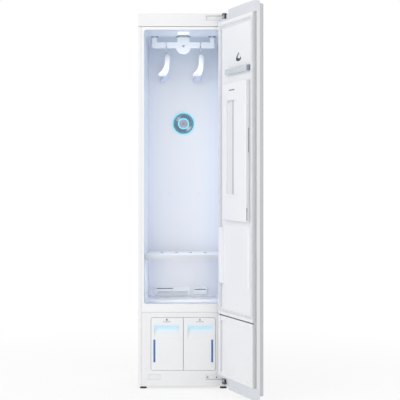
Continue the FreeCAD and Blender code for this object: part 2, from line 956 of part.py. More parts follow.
def door_gasket():
    """Soft magnetic seal that meets the case flange just outside the cavity."""
    inner = cavity_half_front + gasket_offset
    outer = inner + gasket_width
    y = (door_back, door_back + gasket_thick)
    ring_out = upright_prism((-outer, outer), (gasket_low, gasket_top), y, (16,) * 4)
    w = gasket_width
    ring_in = upright_prism(
        (-inner, inner), (gasket_low + w, gasket_top - w), (y[0] - 1, y[1] + 1), (6,) * 4
    )
    seal = ring_out.cut(ring_in)
    return round_edges(seal, 2, lambda c, s: abs(c.y - y[1]) < 0.01 and s.y < 0.01)


def door_cap(z, pocket, bore):
    """End cap of the door behind its skin, with room for the hinge arm and a seat for the bush."""
    y = (door_front + skin_return, door_back)
    cap = block((door_left, door_edge), y, z)
    far = z[1] if z[1] > case_height / 2 else z[0]
    cap = round_edges(cap, 2.5, lambda c, s: abs(c.z - far) < 0.01)
    inside = block((door_left - 1, door_edge + 1), (y[0] - 1, y[0]), z)
    return cap.cut(inside).cut(pocket).cut(bore).cut(skin_room())


def skin_room():
    """The space that the skin and the frame's outer part take."""
    return block((door_left, door_edge), (door_front, door_front + skin_return), (skin_low, skin_high))


def door_top_cap():
    return door_cap((top_cap_low, door_high), both_pockets()[0], bush_rooms()[0])


def door_bottom_cap():
    return door_cap((door_low, bottom_cap_high), both_pockets()[1], bush_rooms()[1])


def hinge_bushes():
    axis = Vector(hinge_x, hinge_y, 0)
    top_sleeve = rod(
        bush_radius, axis + up * (upper_arm_low - 3 - bush_length), axis + up * (upper_arm_low - 3)
    )
    top_flange = rod(bush_flange, axis + up * (upper_arm_low - 3), axis + up * (upper_arm_low - fit))
    low_sleeve = rod(bush_radius, axis + up * (lower_arm_high + 3), axis + up * bottom_cap_high)
    low_flange = rod(bush_flange, axis + up * (lower_arm_high + fit), axis + up * (lower_arm_high + 3))
    bore = rod(hinge_pin_radius + running, axis, axis + up * case_height)
    return Part.makeCompound(
        [fuse(top_sleeve, top_flange).cut(bore), fuse(low_sleeve, low_flange).cut(bore)]
    )


presser_axis_u = presser_near + presser_hinge_radius
presser_axis_v = presser_plate_back + presser_hinge_radius


def presser_pins(extra):
    pins = []
    axis = Vector(door_edge - presser_axis_u, door_back + presser_axis_v, 0)
    for start, end in (
        (presser_low + 1, presser_low + presser_ear + 9), (presser_high - presser_ear - 9, presser_high - 1)
    ):
        pins.append(rod(presser_pin_radius + extra, axis + up * (start - extra), axis + up * (end + extra)))
    return pins


def presser_base():
    """Bed of the trouser presser, with the two ears and pins that its plate swings on."""
    bed = door_block(
        (presser_near, presser_far), (-recess_depth, presser_base_front), (presser_low, presser_high)
    )
    ears = []
    for low in (presser_low, presser_high - presser_ear + 0.5):
        ears.append(
            door_block(
                (presser_near, presser_near + presser_ear_width),
                (-recess_depth, presser_axis_v + presser_hinge_radius),
                (low, low + presser_ear - 0.5),
            )
        )
    return fuse(bed, *ears, *presser_pins(0))


def presser_plate():
    """Hinged pressing plate: long rounded recess, steam slit, lower lip and side grip."""
    u = (presser_near, presser_far)
    v = (presser_plate_back, presser_front)
    x = (door_edge - u[1], door_edge - u[0])
    y = (door_back + v[0], door_back + v[1])
    plate = block(x, y, (presser_low, presser_high))
    plate = round_edges(plate, 5, lambda c, s: abs(c.y - y[1]) < 0.01)
    plate = round_edges(
        plate,
        presser_hinge_radius - 0.1,
        lambda c, s: s.z > 100 and abs(c.y - y[0]) < 0.01 and abs(c.x - x[1]) < 0.01,
    )
    panel = door_recess((slot_near, slot_far), (slot_low, slot_high), 0, 22)
    panel = panel.translated(Vector(0, presser_front - slot_depth, 0))
    slit = block(
        (door_edge - slit_u - slit_width / 2, door_edge - slit_u + slit_width / 2),
        (y[0] + 3, y[1] + 1),
        (slot_low + 14, slot_high - 8),
    )
    room = block((x[0] - 1, x[1] + 1), (y[0] - 1, y[1] + 10), (slot_low - 60, slot_high + 60))
    grip = door_block(
        (presser_far - 12, presser_far + 1), (v[0] - 1, v[0] + 5), (presser_grip_low, presser_grip_high)
    )
    latch_v = (presser_front - 8, presser_front - 5)
    latch = door_block(
        (presser_far - latch_depth, presser_far + 1),
        latch_v,
        (presser_low + latch_low, presser_low + latch_high),
    )
    eye = Vector(door_edge - presser_far, door_back + latch_v[0], presser_low + latch_high)
    latch = latch.fuse(rod(latch_radius, eye - across, eye + across * latch_depth))
    cuts = [panel.common(room), slit, grip, latch]
    reach = presser_near + presser_ear_room
    for z in ((presser_low - 1, presser_low + presser_ear), (presser_high - presser_ear, presser_high + 1)):
        cuts.append(door_block((presser_near - 1, reach), (v[0] - 1, v[1] + 1), z))
    cuts.extend(presser_pins(running))
    lip = door_block(
        (slot_near - lip_overlap, slot_far + lip_overlap),
        (presser_front - 3, presser_front + lip_rise),
        (slot_low + lip_lift - lip_height / 2, slot_low + lip_lift + lip_height / 2),
    )
    lip = round_edges(lip, 3.5, lambda c, s: abs(c.y - door_back - presser_front - lip_rise) < 0.01)
    return fuse(plate.cut(Part.makeCompound(cuts)), lip)


def aroma_tray():
    """Shallow tray for a scent sheet, open at the top."""
    x = (door_edge - tray_far, door_edge - tray_near)
    y = (door_back - recess_depth, door_back + tray_front)
    outer = level_prism(x, y, (tray_low, tray_high), (0.5, 0.5, 6, 6))
    w = tray_wall
    inner = level_prism(
        (x[0] + w, x[1] - w), (y[0] + w, y[1] - w), (tray_low + w, tray_high + 1), (0.4, 0.4, 4, 4)
    )
    return outer.cut(inner)


def slide_rail():
    """Rail that the hanger bar runs on, and the two supports that hold it over the ceiling."""
    shapes = [
        rod(rail_radius, Vector(-rail_half, bar_y, rail_height), Vector(rail_half, bar_y, rail_height))
    ]
    for side in (-1, 1):
        near, far = sorted((side * (rail_half - 12), side * (rail_half - 3)))
        low = cavity_top(bar_depth - 12) + liner_wall + fit
        shapes.append(block((near, far), (bar_y - 12, bar_y + 12), (low, rail_height + 10)))
    return fuse(*shapes)


def hanger_bar():
    """Moving bar: beam, end arms, centre boss with its bulge, hook notches, eyes and yoke."""
    y = (bar_y - bar_thick / 2, bar_y + bar_thick / 2)
    beam = upright_prism((-bar_half, bar_half), (bar_low, bar_high), y, (7, 7, 3, 3))
    shapes = []
    centre = Vector(0, 0, bulge_centre)
    shapes.append(rod(bulge_radius, centre + forward * y[0], centre + forward * y[1]))
    shapes.append(upright_prism((-boss_half, boss_half), (bar_low + 6, boss_top), y, (5, 5, 4, 4)))
    thin = (bar_y - 5, bar_y + 5)
    shapes.append(block((-centre_neck_half, centre_neck_half), thin, (boss_top - 1, yoke_low)))
    for side in (-1, 1):
        near, far = sorted((side * (bar_half - arm_width), side * bar_half))
        shapes.append(upright_prism((near, far), (bar_low + 8, arm_top), y, (2, 2, 4, 4)))
        middle = (near + far) / 2
        neck = arm_neck / 2
        shapes.append(block((middle - neck, middle + neck), thin, (arm_top - 1, rail_height)))
        shapes.append(
            block(
                (middle - 14, middle + 14), (bar_y - 11, bar_y + 11), (rail_height - 11, rail_height + 11)
            )
        )
    yoke = level_prism(
        (-centre_neck_half, centre_neck_half),
        (bar_y - 9, yoke_y + 17),
        (yoke_low, yoke_low + yoke_thick),
        (5,) * 4,
    )
    shapes.append(yoke)
    body = fuse(beam, *shapes)
    cuts = [rod(rail_radius + running, Vector(-half, bar_y, rail_height), Vector(half, bar_y, rail_height))]
    slot = crank_pin_radius + crank_pin_gap
    cuts.append(
        level_prism(
            (-slot, slot),
            (yoke_y - 9, yoke_y + 9),
            (yoke_low - 1, yoke_low + yoke_thick + 1),
            (slot - 0.1,) * 4,
        )
    )
    for side in (-1, 1):
        cuts.append(hook_notch(side))
    v_groove = profile_v(y[0])
    return body.cut(Part.makeCompound(cuts)).cut(v_groove)


def hook_notch(side):
    """A leaning slot, open at the top of the beam, with a round floor for the hook wire."""
    w = notch_width / 2
    floor = bar_high - notch_depth
    y = (bar_y - bar_thick / 2 - 1, bar_y + bar_thick / 2 + 1)
    x = side * notch_x
    slot = block((x - w, x + w), y, (floor + w, bar_high + 14))
    slot.rotate(Vector(x, 0, floor + w), forward, side * notch_lean)
    bed = rod(w, Vector(x, y[0], floor + w), Vector(x, y[1], floor + w))
    trim = block((x - 20, x + 20), y, (floor - 5, bar_high + 1))
    return slot.fuse(bed).common(trim)


def profile_v(y):
    """The V-shaped dimple where the centre boss runs into the bulge."""
    z = bulge_centre
    corners = [Vector(-9, y - 1, z + 8), Vector(9, y - 1, z + 8), Vector(0, y - 1, z - 4)]
    return Part.Face(Part.makePolygon(corners + corners[:1])).extrude(Vector(0, dimple_depth + 1, 0))


def crank_disc():
    """Motor crank: disc, shaft up into the motor and a pin down into the yoke."""
    axis = Vector(0, crank_y, 0)
    disc = rod(
        crank_disc_radius, axis + up * crank_disc_low, axis + up * (crank_disc_low + crank_disc_thick)
    )
    shaft = rod(5, axis + up * crank_disc_low, axis + up * (motor_low + 12))
    pin_at = Vector(0, crank_y - crank_radius, 0)
    pin = rod(crank_pin_radius, pin_at + up * (yoke_low - 1), pin_at + up * crank_disc_low)
    return fuse(disc, shaft, pin)


def hanger_motor():
    """Gear motor on its bridge, which stands on the liner's ceiling."""
    axis = Vector(0, crank_y, 0)
    can = rod(motor_radius, axis + up * motor_low, axis + up * (motor_low + motor_height))
    can = can.makeFillet(
        4, [e for e in can.Edges if abs(e.BoundBox.Center.z - motor_low - motor_height) < 0.1]
    )
    y = (crank_y - 26, crank_y + 26)
    plate = block((-62, 62), y, (motor_low - 3, motor_low))
    depth = y[0] - front
    low = cavity_top(depth) + liner_wall + fit
    legs = [block((side * 60 - 2, side * 60 + 2), y, (low, motor_low)) for side in (-1, 1)]
    bore = rod(5 + running, axis + up * (motor_low - 4), axis + up * (motor_low + 12 + fit))
    return fuse(can, plate, *legs).cut(bore)


def cavity_lamp():
    """Lamp lens on the cavity's ceiling, cut to the ceiling's slope."""
    low = cavity_top(lamp_front) - lamp_drop
    y = (front + lamp_front, front + lamp_front + lamp_length)
    lens = level_prism((-lamp_half, lamp_half), y, (low, cavity_top_front + 5), (7,) * 4)
    lens = round_edges(lens, 4, lambda c, s: s.z < 0.01 and abs(c.z - low) < 0.01)
    return lens.common(cavity_form(0, 2.0, cavity_depth))


def hanger_station(share, taper):
    """A rounded oblong across the near shoulder at a share of its reach, about a hook at X 0."""
    y = bar_y - share * hanger_reach
    z = hanger_line - hanger_drop * share**1.45
    slope = math.atan2(hanger_drop * 1.45 * share**0.45, hanger_reach)
    flare = min(share, 1) ** hanger_flare_power
    wide = (hanger_half_width_neck + (hanger_half_width_end - hanger_half_width_neck) * flare) * taper
    thick = (hanger_half_thick_neck + (hanger_half_thick_end - hanger_half_thick_neck) * flare) * taper
    section = rounded_wire((-wide, wide), (-thick, thick), (thick * 0.8,) * 4, on_floor(0))
    middle = Vector(-hanger_curve * flare, y, z)
    section.Placement = Placement(middle, Rotation(across, 90 + math.degrees(slope)))
    return section


def hook_wire_path(x):
    """Up from the neck, forward of the beam, over the notch floor and down behind."""
    saddle = bar_high - notch_depth + fit + hook_wire
    span = hook_half_span
    points = [
        (0, hanger_neck_top - hook_seat),
        (0, hanger_neck_top + 2),
        (-span, hanger_neck_top + 14),
        (-span, saddle),
        (span, saddle),
        (span, saddle - 22),
    ]
    corners = [Vector(x, bar_y + y, z) for y, z in points]
    edges = []
    start = corners[0]
    for number in range(1, len(corners) - 1):
        here = corners[number]
        back = (corners[number - 1] - here).normalize()
        on = (corners[number + 1] - here).normalize()
        half_turn = back.getAngle(on) / 2
        cut = hook_bend / math.tan(half_turn)
        first = here + back * cut
        last = here + on * cut
        toward = (back + on).normalize()
        middle = here + toward * (hook_bend / math.sin(half_turn) - hook_bend)
        edges.append(Part.makeLine(start, first))
        edges.append(Part.Arc(first, middle, last).toShape())
        start = last
    edges.append(Part.makeLine(start, corners[-1]))
    return Part.Wire(edges)


def hanger(side):
    """Hanger with slim arms that flare to one side at the shoulders, balanced under its hook."""
    x = side * notch_x
    stations = [hanger_station(share, 1.0) for share in (0.0, 0.2, 0.45, 0.65, 0.8, 0.9, 1.0)]
    stations.append(hanger_station(1.03, 0.8))
    near = Part.makeLoft(stations, True, False)
    far = near.mirror(Vector(0, bar_y, 0), forward)
    lean = -near.CenterOfMass.x
    shift = Vector(x + lean, 0, 0)
    neck_low = Vector(x + lean, bar_y, hanger_line - hanger_neck_sink)
    neck_high = Vector(x, bar_y, hanger_neck_top)
    neck = rod(hanger_neck_radius, neck_low, neck_high)
    path = hook_wire_path(x)
    section = Part.Wire([Part.makeCircle(hook_wire, path.Edges[0].Vertexes[0].Point, up)])
    wire = path.makePipeShell([section], True, True)
    arms = fuse(near.translated(shift), far.translated(shift))
    return fuse(fuse(arms, neck), wire)


def shelf():
    """Tapered shelf with turned-down rails and four notches."""
    def outline(grow, z):
        corners = []
        for depth, side in ((shelf_front, -1), (shelf_front, 1), (shelf_back, 1), (shelf_back, -1)):
            reach = cavity_half(depth) - shelf_side_gap + grow
            inward = grow if depth == shelf_front else -grow
            corners.append(Vector(side * reach, front + depth - inward, z))
        return Part.Face(Part.makePolygon(corners + corners[:1]))

    low = shelf_top - shelf_rail
    plate = outline(0, low).extrude(Vector(0, 0, shelf_rail))
    plate = round_edges(plate, 3, lambda c, s: abs(c.z - shelf_top) < 0.01 and s.y < 0.01 and c.y < 0)
    hollow = outline(-shelf_plate, low - 1).extrude(Vector(0, 0, shelf_rail - shelf_plate + 1))
    cuts = [hollow]
    for number in (-1.5, -0.5, 0.5, 1.5):
        x = number * shelf_notch_pitch
        y = front + shelf_notch_depth
        w = shelf_notch_width / 2
        reach = shelf_notch_length / 2
        cuts.append(level_prism((x - w, x + w), (y - reach, y + reach), (low, shelf_top + 1), (w - 1,) * 4))
    return plate.cut(Part.makeCompound(cuts))


def along_fan(offset):
    return Vector(0, back_wall + offset, fan_height)


def fan_bezel():
    face = ring(fan_bezel_radius, fan_throat, along_fan(-fan_bezel_thick), along_fan(0))
    sleeve = ring(fan_throat + 3.7, fan_throat, along_fan(0), along_fan(14))
    return fuse(face, sleeve)


def fan_light_rings():
    """Outer and inner light guides of the fan unit."""
    base = -fan_bezel_thick
    outer = ring(fan_glow_outer, fan_glow_inner, along_fan(base - 5), along_fan(base))
    outer = outer.makeFillet(
        2, [e for e in outer.Edges if abs(e.BoundBox.Center.y - along_fan(base - 5).y) < 0.01]
    )
    inner = ring(fan_hub, fan_inner_glow, along_fan(base - 9), along_fan(base - 6))
    inner = inner.makeFillet(
        1.2, [e for e in inner.Edges if abs(e.BoundBox.Center.y - along_fan(base - 9).y) < 0.01]
    )
    return Part.makeCompound([outer, inner])


def fan_guide_vanes():
    """Fixed ring of pitched vanes between a rim and a hub."""
    base = -fan_bezel_thick
    rim = ring(fan_glow_inner - 0.2, fan_glow_inner - 2.4, along_fan(base - 6), along_fan(base))
    hub = rod(fan_hub, along_fan(base - 6), along_fan(base - 2))
    vanes = []
    for number in range(fan_vane_count):
        start = fan_hub - 1
        vane = block((start, fan_glow_inner - 1.8), (-3.2, 3.2), (-0.7, 0.7))
        vane.rotate(Vector(0, 0, 0), across, 38)
        vane.rotate(Vector(0, 0, 0), forward, 360 / fan_vane_count * number)
        vane.translate(along_fan(base - 3))
        vanes.append(vane)
    return fuse(rim, hub, *vanes)


def fan_cap():
    base = -fan_bezel_thick
    disc = rod(fan_inner_glow - 0.2, along_fan(base - 10), along_fan(base - 6))
    return disc.makeFillet(
        2, [e for e in disc.Edges if abs(e.BoundBox.Center.y - along_fan(base - 10).y) < 0.01]
    )


def bladed_wheel(centre, hub, tip, length, count, thick, lean):
    """A hub with straight leaning blades, built about the Y axis."""
    shapes = []
    for number in range(count):
        blade = block((hub - 2, tip), (0, length), (-thick / 2, thick / 2))
        blade.rotate(Vector(hub, length / 2, 0), across, lean)
        blade.rotate(Vector(0, 0, 0), forward, 360 / count * number)
        blade.translate(centre)
        shapes.append(blade)
    return shapes


def rear_fan_wheel():
    centre = along_fan(6)
    hub = rod(24, centre, centre + forward * 18)
    hub = hub.makeFillet(5, [e for e in hub.Edges if abs(e.BoundBox.Center.y - centre.y) < 0.01])
    blades = bladed_wheel(centre + forward * 2, 24, fan_wheel_radius, 14, fan_blade_count, 1.6, 35)
    shaft = rod(3, centre + forward * 10, along_fan(50))
    return fuse(hub, shaft, *blades)


def rear_fan_motor():
    """Motor on the duct's back wall."""
    back = along_fan(liner_wall + duct_depth - duct_wall)
    can = rod(26, along_fan(30), back)
    foot = rod(34, back - forward * 4, back)
    return fuse(can, foot).cut(rod(3 + running, along_fan(29), along_fan(50 + fit)))


def rear_duct():
    """Rising air duct on the liner's back, round at the top about the fan."""
    def channel(radius, y, low):
        centre = Vector(0, 0, fan_height)
        top = rod(radius, centre + forward * y[0], centre + forward * y[1])
        return fuse(top, block((-radius, radius), y, (low, fan_height)))

    y = (liner_back, liner_back + duct_depth)
    w = duct_wall
    shell = channel(duct_radius, y, duct_low)
    shell = shell.cut(channel(duct_radius - w, (y[0] - 1, y[1] - w), duct_low + w))
    return shell.cut(blower_neck(0, (duct_low - 1, duct_low + w + 1)))


def blower_neck(shrink, z):
    right = blower_x + blower_radius - shrink
    left = blower_x + blower_radius - blower_outlet + shrink
    return block((left, right), (liner_back + 2 + shrink, liner_back + 2 + blower_depth - shrink), z)


def blower_housing():
    """Scroll with its outlet neck up into the duct and the motor on its back."""
    y0 = liner_back + 2
    centre = Vector(blower_x, 0, blower_z)
    w = blower_wall

    def scroll(shrink, y):
        drum = rod(blower_radius - shrink, centre + forward * y[0], centre + forward * y[1])
        return drum

    outer = fuse(scroll(0, (y0, y0 + blower_depth)), blower_neck(0, (blower_z, duct_low)))
    inner = fuse(
        scroll(w, (y0 + w, y0 + blower_depth - w)), blower_neck(w, (blower_z, duct_low + 1))
    )
    inlet = rod(34, centre + forward * (y0 - 1), centre + forward * (y0 + w + 1))
    motor = rod(24, centre + forward * (y0 + blower_depth), centre + forward * (y0 + blower_depth + 36))
    bore = rod(4 + running, centre + forward * (y0 + 10), centre + forward * (y0 + blower_depth + 20 + fit))
    stand_z = (base_underside + pan_wall, blower_z)
    stand = block((blower_x - 40, blower_x + 40), (y0, y0 + blower_depth), stand_z)
    stand = stand.cut(
        block(
            (blower_x - 37, blower_x + 37),
            (y0 - 1, y0 + blower_depth + 1),
            (stand_z[0] - 1, stand_z[1] - blower_radius - 2),
        )
    )
    return fuse(outer, motor, stand).cut(inner).cut(inlet).cut(bore)


def blower_wheel():
    """Squirrel-cage wheel: back disc, front rim, curved row of blades and shaft."""
    y0 = liner_back + 2 + blower_wall + 3
    centre = Vector(blower_x, 0, blower_z)
    length = blower_depth - 2 * blower_wall - 6
    disc = rod(blower_wheel_radius, centre + forward * (y0 + length - 3), centre + forward * (y0 + length))
    rim = ring(
        blower_wheel_radius, blower_wheel_radius - 10, centre + forward * y0, centre + forward * (y0 + 2)
    )
    hub = rod(12, centre + forward * (y0 + length - 24), centre + forward * (y0 + length - 2))
    shaft = rod(
        4, centre + forward * (y0 + length - 10), centre + forward * (liner_back + 2 + blower_depth + 20)
    )
    blades = []
    for number in range(blower_blade_count):
        blade = block((blower_wheel_radius - 10, blower_wheel_radius - 0.6), (0, length - 1), (-0.7, 0.7))
        blade.rotate(Vector(blower_wheel_radius - 5, 0, 0), forward, 28)
        blade.rotate(Vector(0, 0, 0), forward, 360 / blower_blade_count * number)
        blade.translate(centre + forward * (y0 + 0.5))
        blades.append(blade)
    return fuse(disc, rim, hub, shaft, *blades)


def heat_exchangers():
    """Evaporator and condenser: finned blocks hung under the cavity floor, each with return bends."""
    top = cavity_floor - liner_wall
    z = (top - coil_height, top)
    groups = []
    for number in range(2):
        back = liner_back + 2 - number * (coil_depth + 1)
        y = (back - coil_depth, back)
        core = block((coil_left, coil_right), y, z)
        pitch = (coil_right - coil_left) / coil_slots
        slots = []
        for count in range(coil_slots):
            x = coil_left + pitch * (count + 0.5)
            w = pitch * slot_share / 2
            slots.append(block((x - w, x + w), (y[0] + 6, y[1] + 1), (z[0] - 1, z[1] - 6)))
        bends = []
        for level in (0.2, 0.5, 0.8):
            centre = Vector(coil_left, (y[0] + y[1]) / 2, z[0] + coil_height * level)
            bend = Part.makeTorus(16, 4, centre, up)
            bends.append(bend.common(block((coil_left - 30, coil_left + 0.5), y, z)))
        groups.append(fuse(core.cut(Part.makeCompound(slots)), *bends))
    return Part.makeCompound(groups)


def compressor():
    """Rotary compressor on three grommets, with its accumulator alongside."""
    floor = base_underside + pan_wall
    at = Vector(compressor_x, compressor_y, 0)
    can = rod(compressor_radius, at + up * (floor + 12), at + up * (floor + 12 + compressor_height))
    can = can.makeFillet(24, can.Edges[0:1] + can.Edges[2:3])
    plate = rod(compressor_radius + 12, at + up * (floor + 8), at + up * (floor + 16))
    shapes = [plate]
    for turn in (90, 210, 330):
        arm = Vector(
            math.cos(math.radians(turn)), math.sin(math.radians(turn)), 0
        ) * (compressor_radius + 2)
        shapes.append(rod(9, at + arm + up * floor, at + arm + up * (floor + 9)))
    side = at + across * (compressor_radius + accumulator_radius + 4)
    shapes.append(
        rod(
            accumulator_radius,
            side + up * (floor + accumulator_low),
            side + up * (floor + accumulator_high),
        )
    )
    shapes.append(block((at.x, side.x), (at.y - 8, at.y + 8), (floor + 100, floor + 120)))
    return fuse(can, *shapes)


def steam_generator():
    """Water boiler on the pan with the steam pipe up to the outlet behind the cavity."""
    floor = base_underside + pan_wall
    z = (floor, floor + boiler_height)
    body = level_prism((boiler_left, boiler_right), (boiler_front, boiler_back), z, (12,) * 4)
    body = round_edges(body, 6, lambda c, s: abs(c.z - z[1]) < 0.01)
    x = pipe_x
    start = boiler_back - 30
    points = [
        Vector(x, start, z[1] - 2),
        Vector(x, start, z[1] + 80),
        Vector(x, liner_back + 34, z[1] + 80),
        Vector(x, liner_back + 34, steam_outlet_height),
        Vector(x, back_wall - 1, steam_outlet_height),
    ]
    pipe = [rod(pipe_radius, points[n], points[n + 1]) for n in range(len(points) - 1)]
    elbows = [Part.makeSphere(pipe_radius, point) for point in points[1:-1]]
    middle = Vector((boiler_left + boiler_right) / 2, boiler_front + 32, z[1])
    flange = rod(24, middle - up * 2, middle + up * 6)
    return fuse(body, flange, *pipe, *elbows)


def steam_nozzle():
    """Hood over the steam outlet, with a slit under its brow."""
    z = (filter_low, filter_high)
    w = 2.0
    face = back_wall
    hood = profile_prism(
        [(face, z[0]), (face - 8, z[0] + 4), (face - 10, z[1] - 8), (face - 5, z[1]), (face, z[1])],
        (nozzle_left, nozzle_right),
    )
    hollow = profile_prism(
        [
            (face + 1, z[0] + w + 1),
            (face - 6, z[0] + w + 4),
            (face - 8, z[1] - 9),
            (face - 4, z[1] - w),
            (face + 1, z[1] - w),
        ],
        (nozzle_left + w, nozzle_right - w),
    )
    slit = block((nozzle_left + 6, nozzle_right - 6), (face - 14, face - 3), (z[1] - 14, z[1] - 10))
    return hood.cut(hollow).cut(slit)


def lint_filter():
    """Pull-out filter: louvred face in front of the wall, hollow cartridge behind it."""
    x = (filter_left, filter_right)
    z = (filter_low, filter_high)
    face = upright_prism(x, z, (back_wall - filter_face - fit, back_wall - fit), (3,) * 4)
    body = block((x[0] + 5, x[1] - 5), (back_wall - fit - 1, back_wall + filter_body), (z[0] + 5, z[1] - 5))
    inside = block((x[0] + 7, x[1] - 7), (back_wall - 2, back_wall + filter_body + 1), (z[0] + 7, z[1] - 7))
    cuts = [inside]
    for row in range(2):
        low = z[0] + 6 + row * 7
        cuts.append(block((x[0] + 12, x[1] - 12), (back_wall - 20, back_wall), (low, low + 2.5)))
    finger = block(
        (x[0] + 8, x[0] + 96), (back_wall - filter_face - 2, back_wall - 2), (z[1] - 9, z[1] - 4.5)
    )
    cuts.append(finger)
    return fuse(face, body).cut(Part.makeCompound(cuts))


def control_box():
    """Electronics case over the ceiling, with a vented lid."""
    low = cavity_top(control_front - front) + liner_wall + fit
    box = level_prism(
        (control_left, control_right), (control_front, control_back), (low, low + control_height), (5,) * 4
    )
    slots = []
    for row in range(7):
        y = control_front + 30 + row * 22
        slots.append(
            block(
                (control_left + 25, control_right - 25),
                (y, y + 5),
                (low + control_height - 2, low + control_height + 1),
            )
        )
    return box.cut(Part.makeCompound(slots))


def cord_gland():
    """Bush in the back cover where the supply cord would pass."""
    at = Vector(gland_x, rear, gland_z)
    flange = rod(15, at - forward * sheet, at + forward * 0)
    sleeve = rod(10 - 0.1, at - forward * 12, at)
    nut = rod(15, at - forward * (2 * sheet + 6), at - forward * (2 * sheet))
    return fuse(flange, sleeve, nut).cut(rod(5, at - forward * 20, at + forward * 1))


def foot(side):
    at = Vector(side * foot_x, front + foot_back, 0)
    top = base_underside - fit
    pad = Part.makeCone(foot_radius, foot_radius - 3, top - 3, at, up)
    collar = rod(foot_radius - 6, at + up * (top - 3.5), at + up * top)
    stem = rod(stem_radius, at, at + up * stem_top)
    return fuse(pad, collar, stem)


def roller(side):
    middle = Vector(side * roller_x, rear - roller_front, roller_radius)
    w = roller_half_width
    wheel = rod(roller_radius, middle - across * w, middle + across * w)
    wheel = wheel.makeFillet(2, [e for e in wheel.Edges if e.BoundBox.XLength < 0.01])
    return wheel.cut(rod(roller_axle + running, middle - across * (w + 1), middle + across * (w + 1)))


def pieces():
    left = side_panel()
    clean = {"front": tank_front(), "body": tank_body(), "lid": tank_lid()}
    made = {
        "left_side_panel": left,
        "right_side_panel": mirrored(left),
        "top_front_panel": top_front_panel(),
        "top_cover": top_cover(),
        "back_cover": back_cover(),
        "back_screws": back_screws(),
        "base_pan": base_pan(),
        "cavity_liner": cavity_liner(),
        "side_insulation": side_insulation(),
        "base_front_panel": base_front_panel(),
        "toe_cover": toe_cover(),
        "tank_bay": tank_bay(),
        "upper_hinge": hinge_arm(
            upper_leaf_low, upper_arm_low, upper_arm_low - 3 - bush_length + fit, upper_arm_high
        ),
        "lower_hinge": hinge_arm(lower_leaf_low, lower_arm_low, lower_arm_low, bottom_cap_high - fit),
        "cavity_lamp": cavity_lamp(),
        "slide_rail": slide_rail(),
        "hanger_motor": hanger_motor(),
        "fan_bezel": fan_bezel(),
        "fan_light_rings": fan_light_rings(),
        "fan_guide_vanes": fan_guide_vanes(),
        "fan_cap": fan_cap(),
        "rear_fan_motor": rear_fan_motor(),
        "rear_duct": rear_duct(),
        "steam_nozzle": steam_nozzle(),
        "compressor": compressor(),
        "heat_exchangers": heat_exchangers(),
        "blower_housing": blower_housing(),
        "steam_generator": steam_generator(),
        "control_box": control_box(),
        "cord_gland": cord_gland(),
        "hanger_bar": hanger_bar(),
        "crank_disc": crank_disc(),
        "left_hanger": hanger(-1),
        "right_hanger": hanger(1),
        "shelf": shelf(),
        "lint_filter": lint_filter(),
        "rear_fan_wheel": rear_fan_wheel(),
        "blower_wheel": blower_wheel(),
        "left_foot": foot(-1),
        "right_foot": foot(1),
        "left_roller": roller(-1),
        "right_roller": roller(1),
    }
    for piece, shape in clean.items():
        made["clean_tank_" + piece] = shape
        made["drain_tank_" + piece] = mirrored(shape)
    closed_door = {
        "door_skin": door_skin(),
        "door_frame": door_frame(),
        "door_core": door_core(),
        "door_liner": door_liner(),
        "door_lower_panel": door_lower_panel(),
        "door_gasket": door_gasket(),
        "door_top_cap": door_top_cap(),
        "door_bottom_cap": door_bottom_cap(),
        "hinge_bushes": hinge_bushes(),
        "presser_base": presser_base(),
        "presser_plate": presser_plate(),
        "aroma_tray": aroma_tray(),
    }
    for name, shape in closed_door.items():
        made[name] = open_door(shape)
    return made


os.makedirs("parts", exist_ok=True)
for name, shape in pieces().items():
    shape.exportStep(os.path.join("parts", name + ".step"))
    print(name, len(shape.Solids), "solids", round(shape.Volume / 1000, 1), "cm3", shape.isValid())
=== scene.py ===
import json
import math

import bmesh
import bpy
import numpy as np
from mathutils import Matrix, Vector


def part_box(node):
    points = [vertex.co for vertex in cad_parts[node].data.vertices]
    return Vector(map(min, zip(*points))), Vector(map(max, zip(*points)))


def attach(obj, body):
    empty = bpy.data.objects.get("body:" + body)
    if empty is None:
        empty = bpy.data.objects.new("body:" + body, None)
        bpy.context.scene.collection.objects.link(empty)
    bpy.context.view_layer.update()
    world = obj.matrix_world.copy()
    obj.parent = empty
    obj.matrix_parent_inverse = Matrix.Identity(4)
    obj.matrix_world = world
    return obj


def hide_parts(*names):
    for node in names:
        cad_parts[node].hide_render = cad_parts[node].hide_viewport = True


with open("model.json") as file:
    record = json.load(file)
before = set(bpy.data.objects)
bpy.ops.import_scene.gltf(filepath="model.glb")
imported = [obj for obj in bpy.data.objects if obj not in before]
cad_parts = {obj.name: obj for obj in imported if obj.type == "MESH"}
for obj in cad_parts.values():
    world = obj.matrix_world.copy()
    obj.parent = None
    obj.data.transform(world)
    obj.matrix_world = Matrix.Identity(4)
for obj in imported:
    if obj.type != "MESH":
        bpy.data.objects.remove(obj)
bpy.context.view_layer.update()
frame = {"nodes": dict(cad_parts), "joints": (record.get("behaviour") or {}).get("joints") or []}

nodes = frame["nodes"]
scene = bpy.context.scene
print("frame loaded:", len(nodes), "nodes")


# where the case and the door stand

def jointNamed(name):
    return next(joint for joint in frame["joints"] if joint["name"] == name)


doorHinge = jointNamed("door_hinge")
barY = jointNamed("left_hanger_swing")["pos_m"][1]
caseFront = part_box("left_side_panel")[0].y
# from the door's hinge edge to the presser's far side, and how deep the liner's field lies in the inner face
presserFar, doorRecess = 0.396, 0.0065
doorFrame = {"edge": 0.2205, "inner": caseFront - 0.006, "turn": math.radians(-doorHinge["range_deg"][0])}


# small helpers for colours and materials

def linear(red, green, blue):
    # a screen colour of 0 to 255 as the linear value that the shader wants
    out = []
    for value in (red, green, blue):
        share = value / 255
        out.append(share / 12.92 if share <= 0.04045 else ((share + 0.055) / 1.055) ** 2.4)
    return (*out, 1.0)


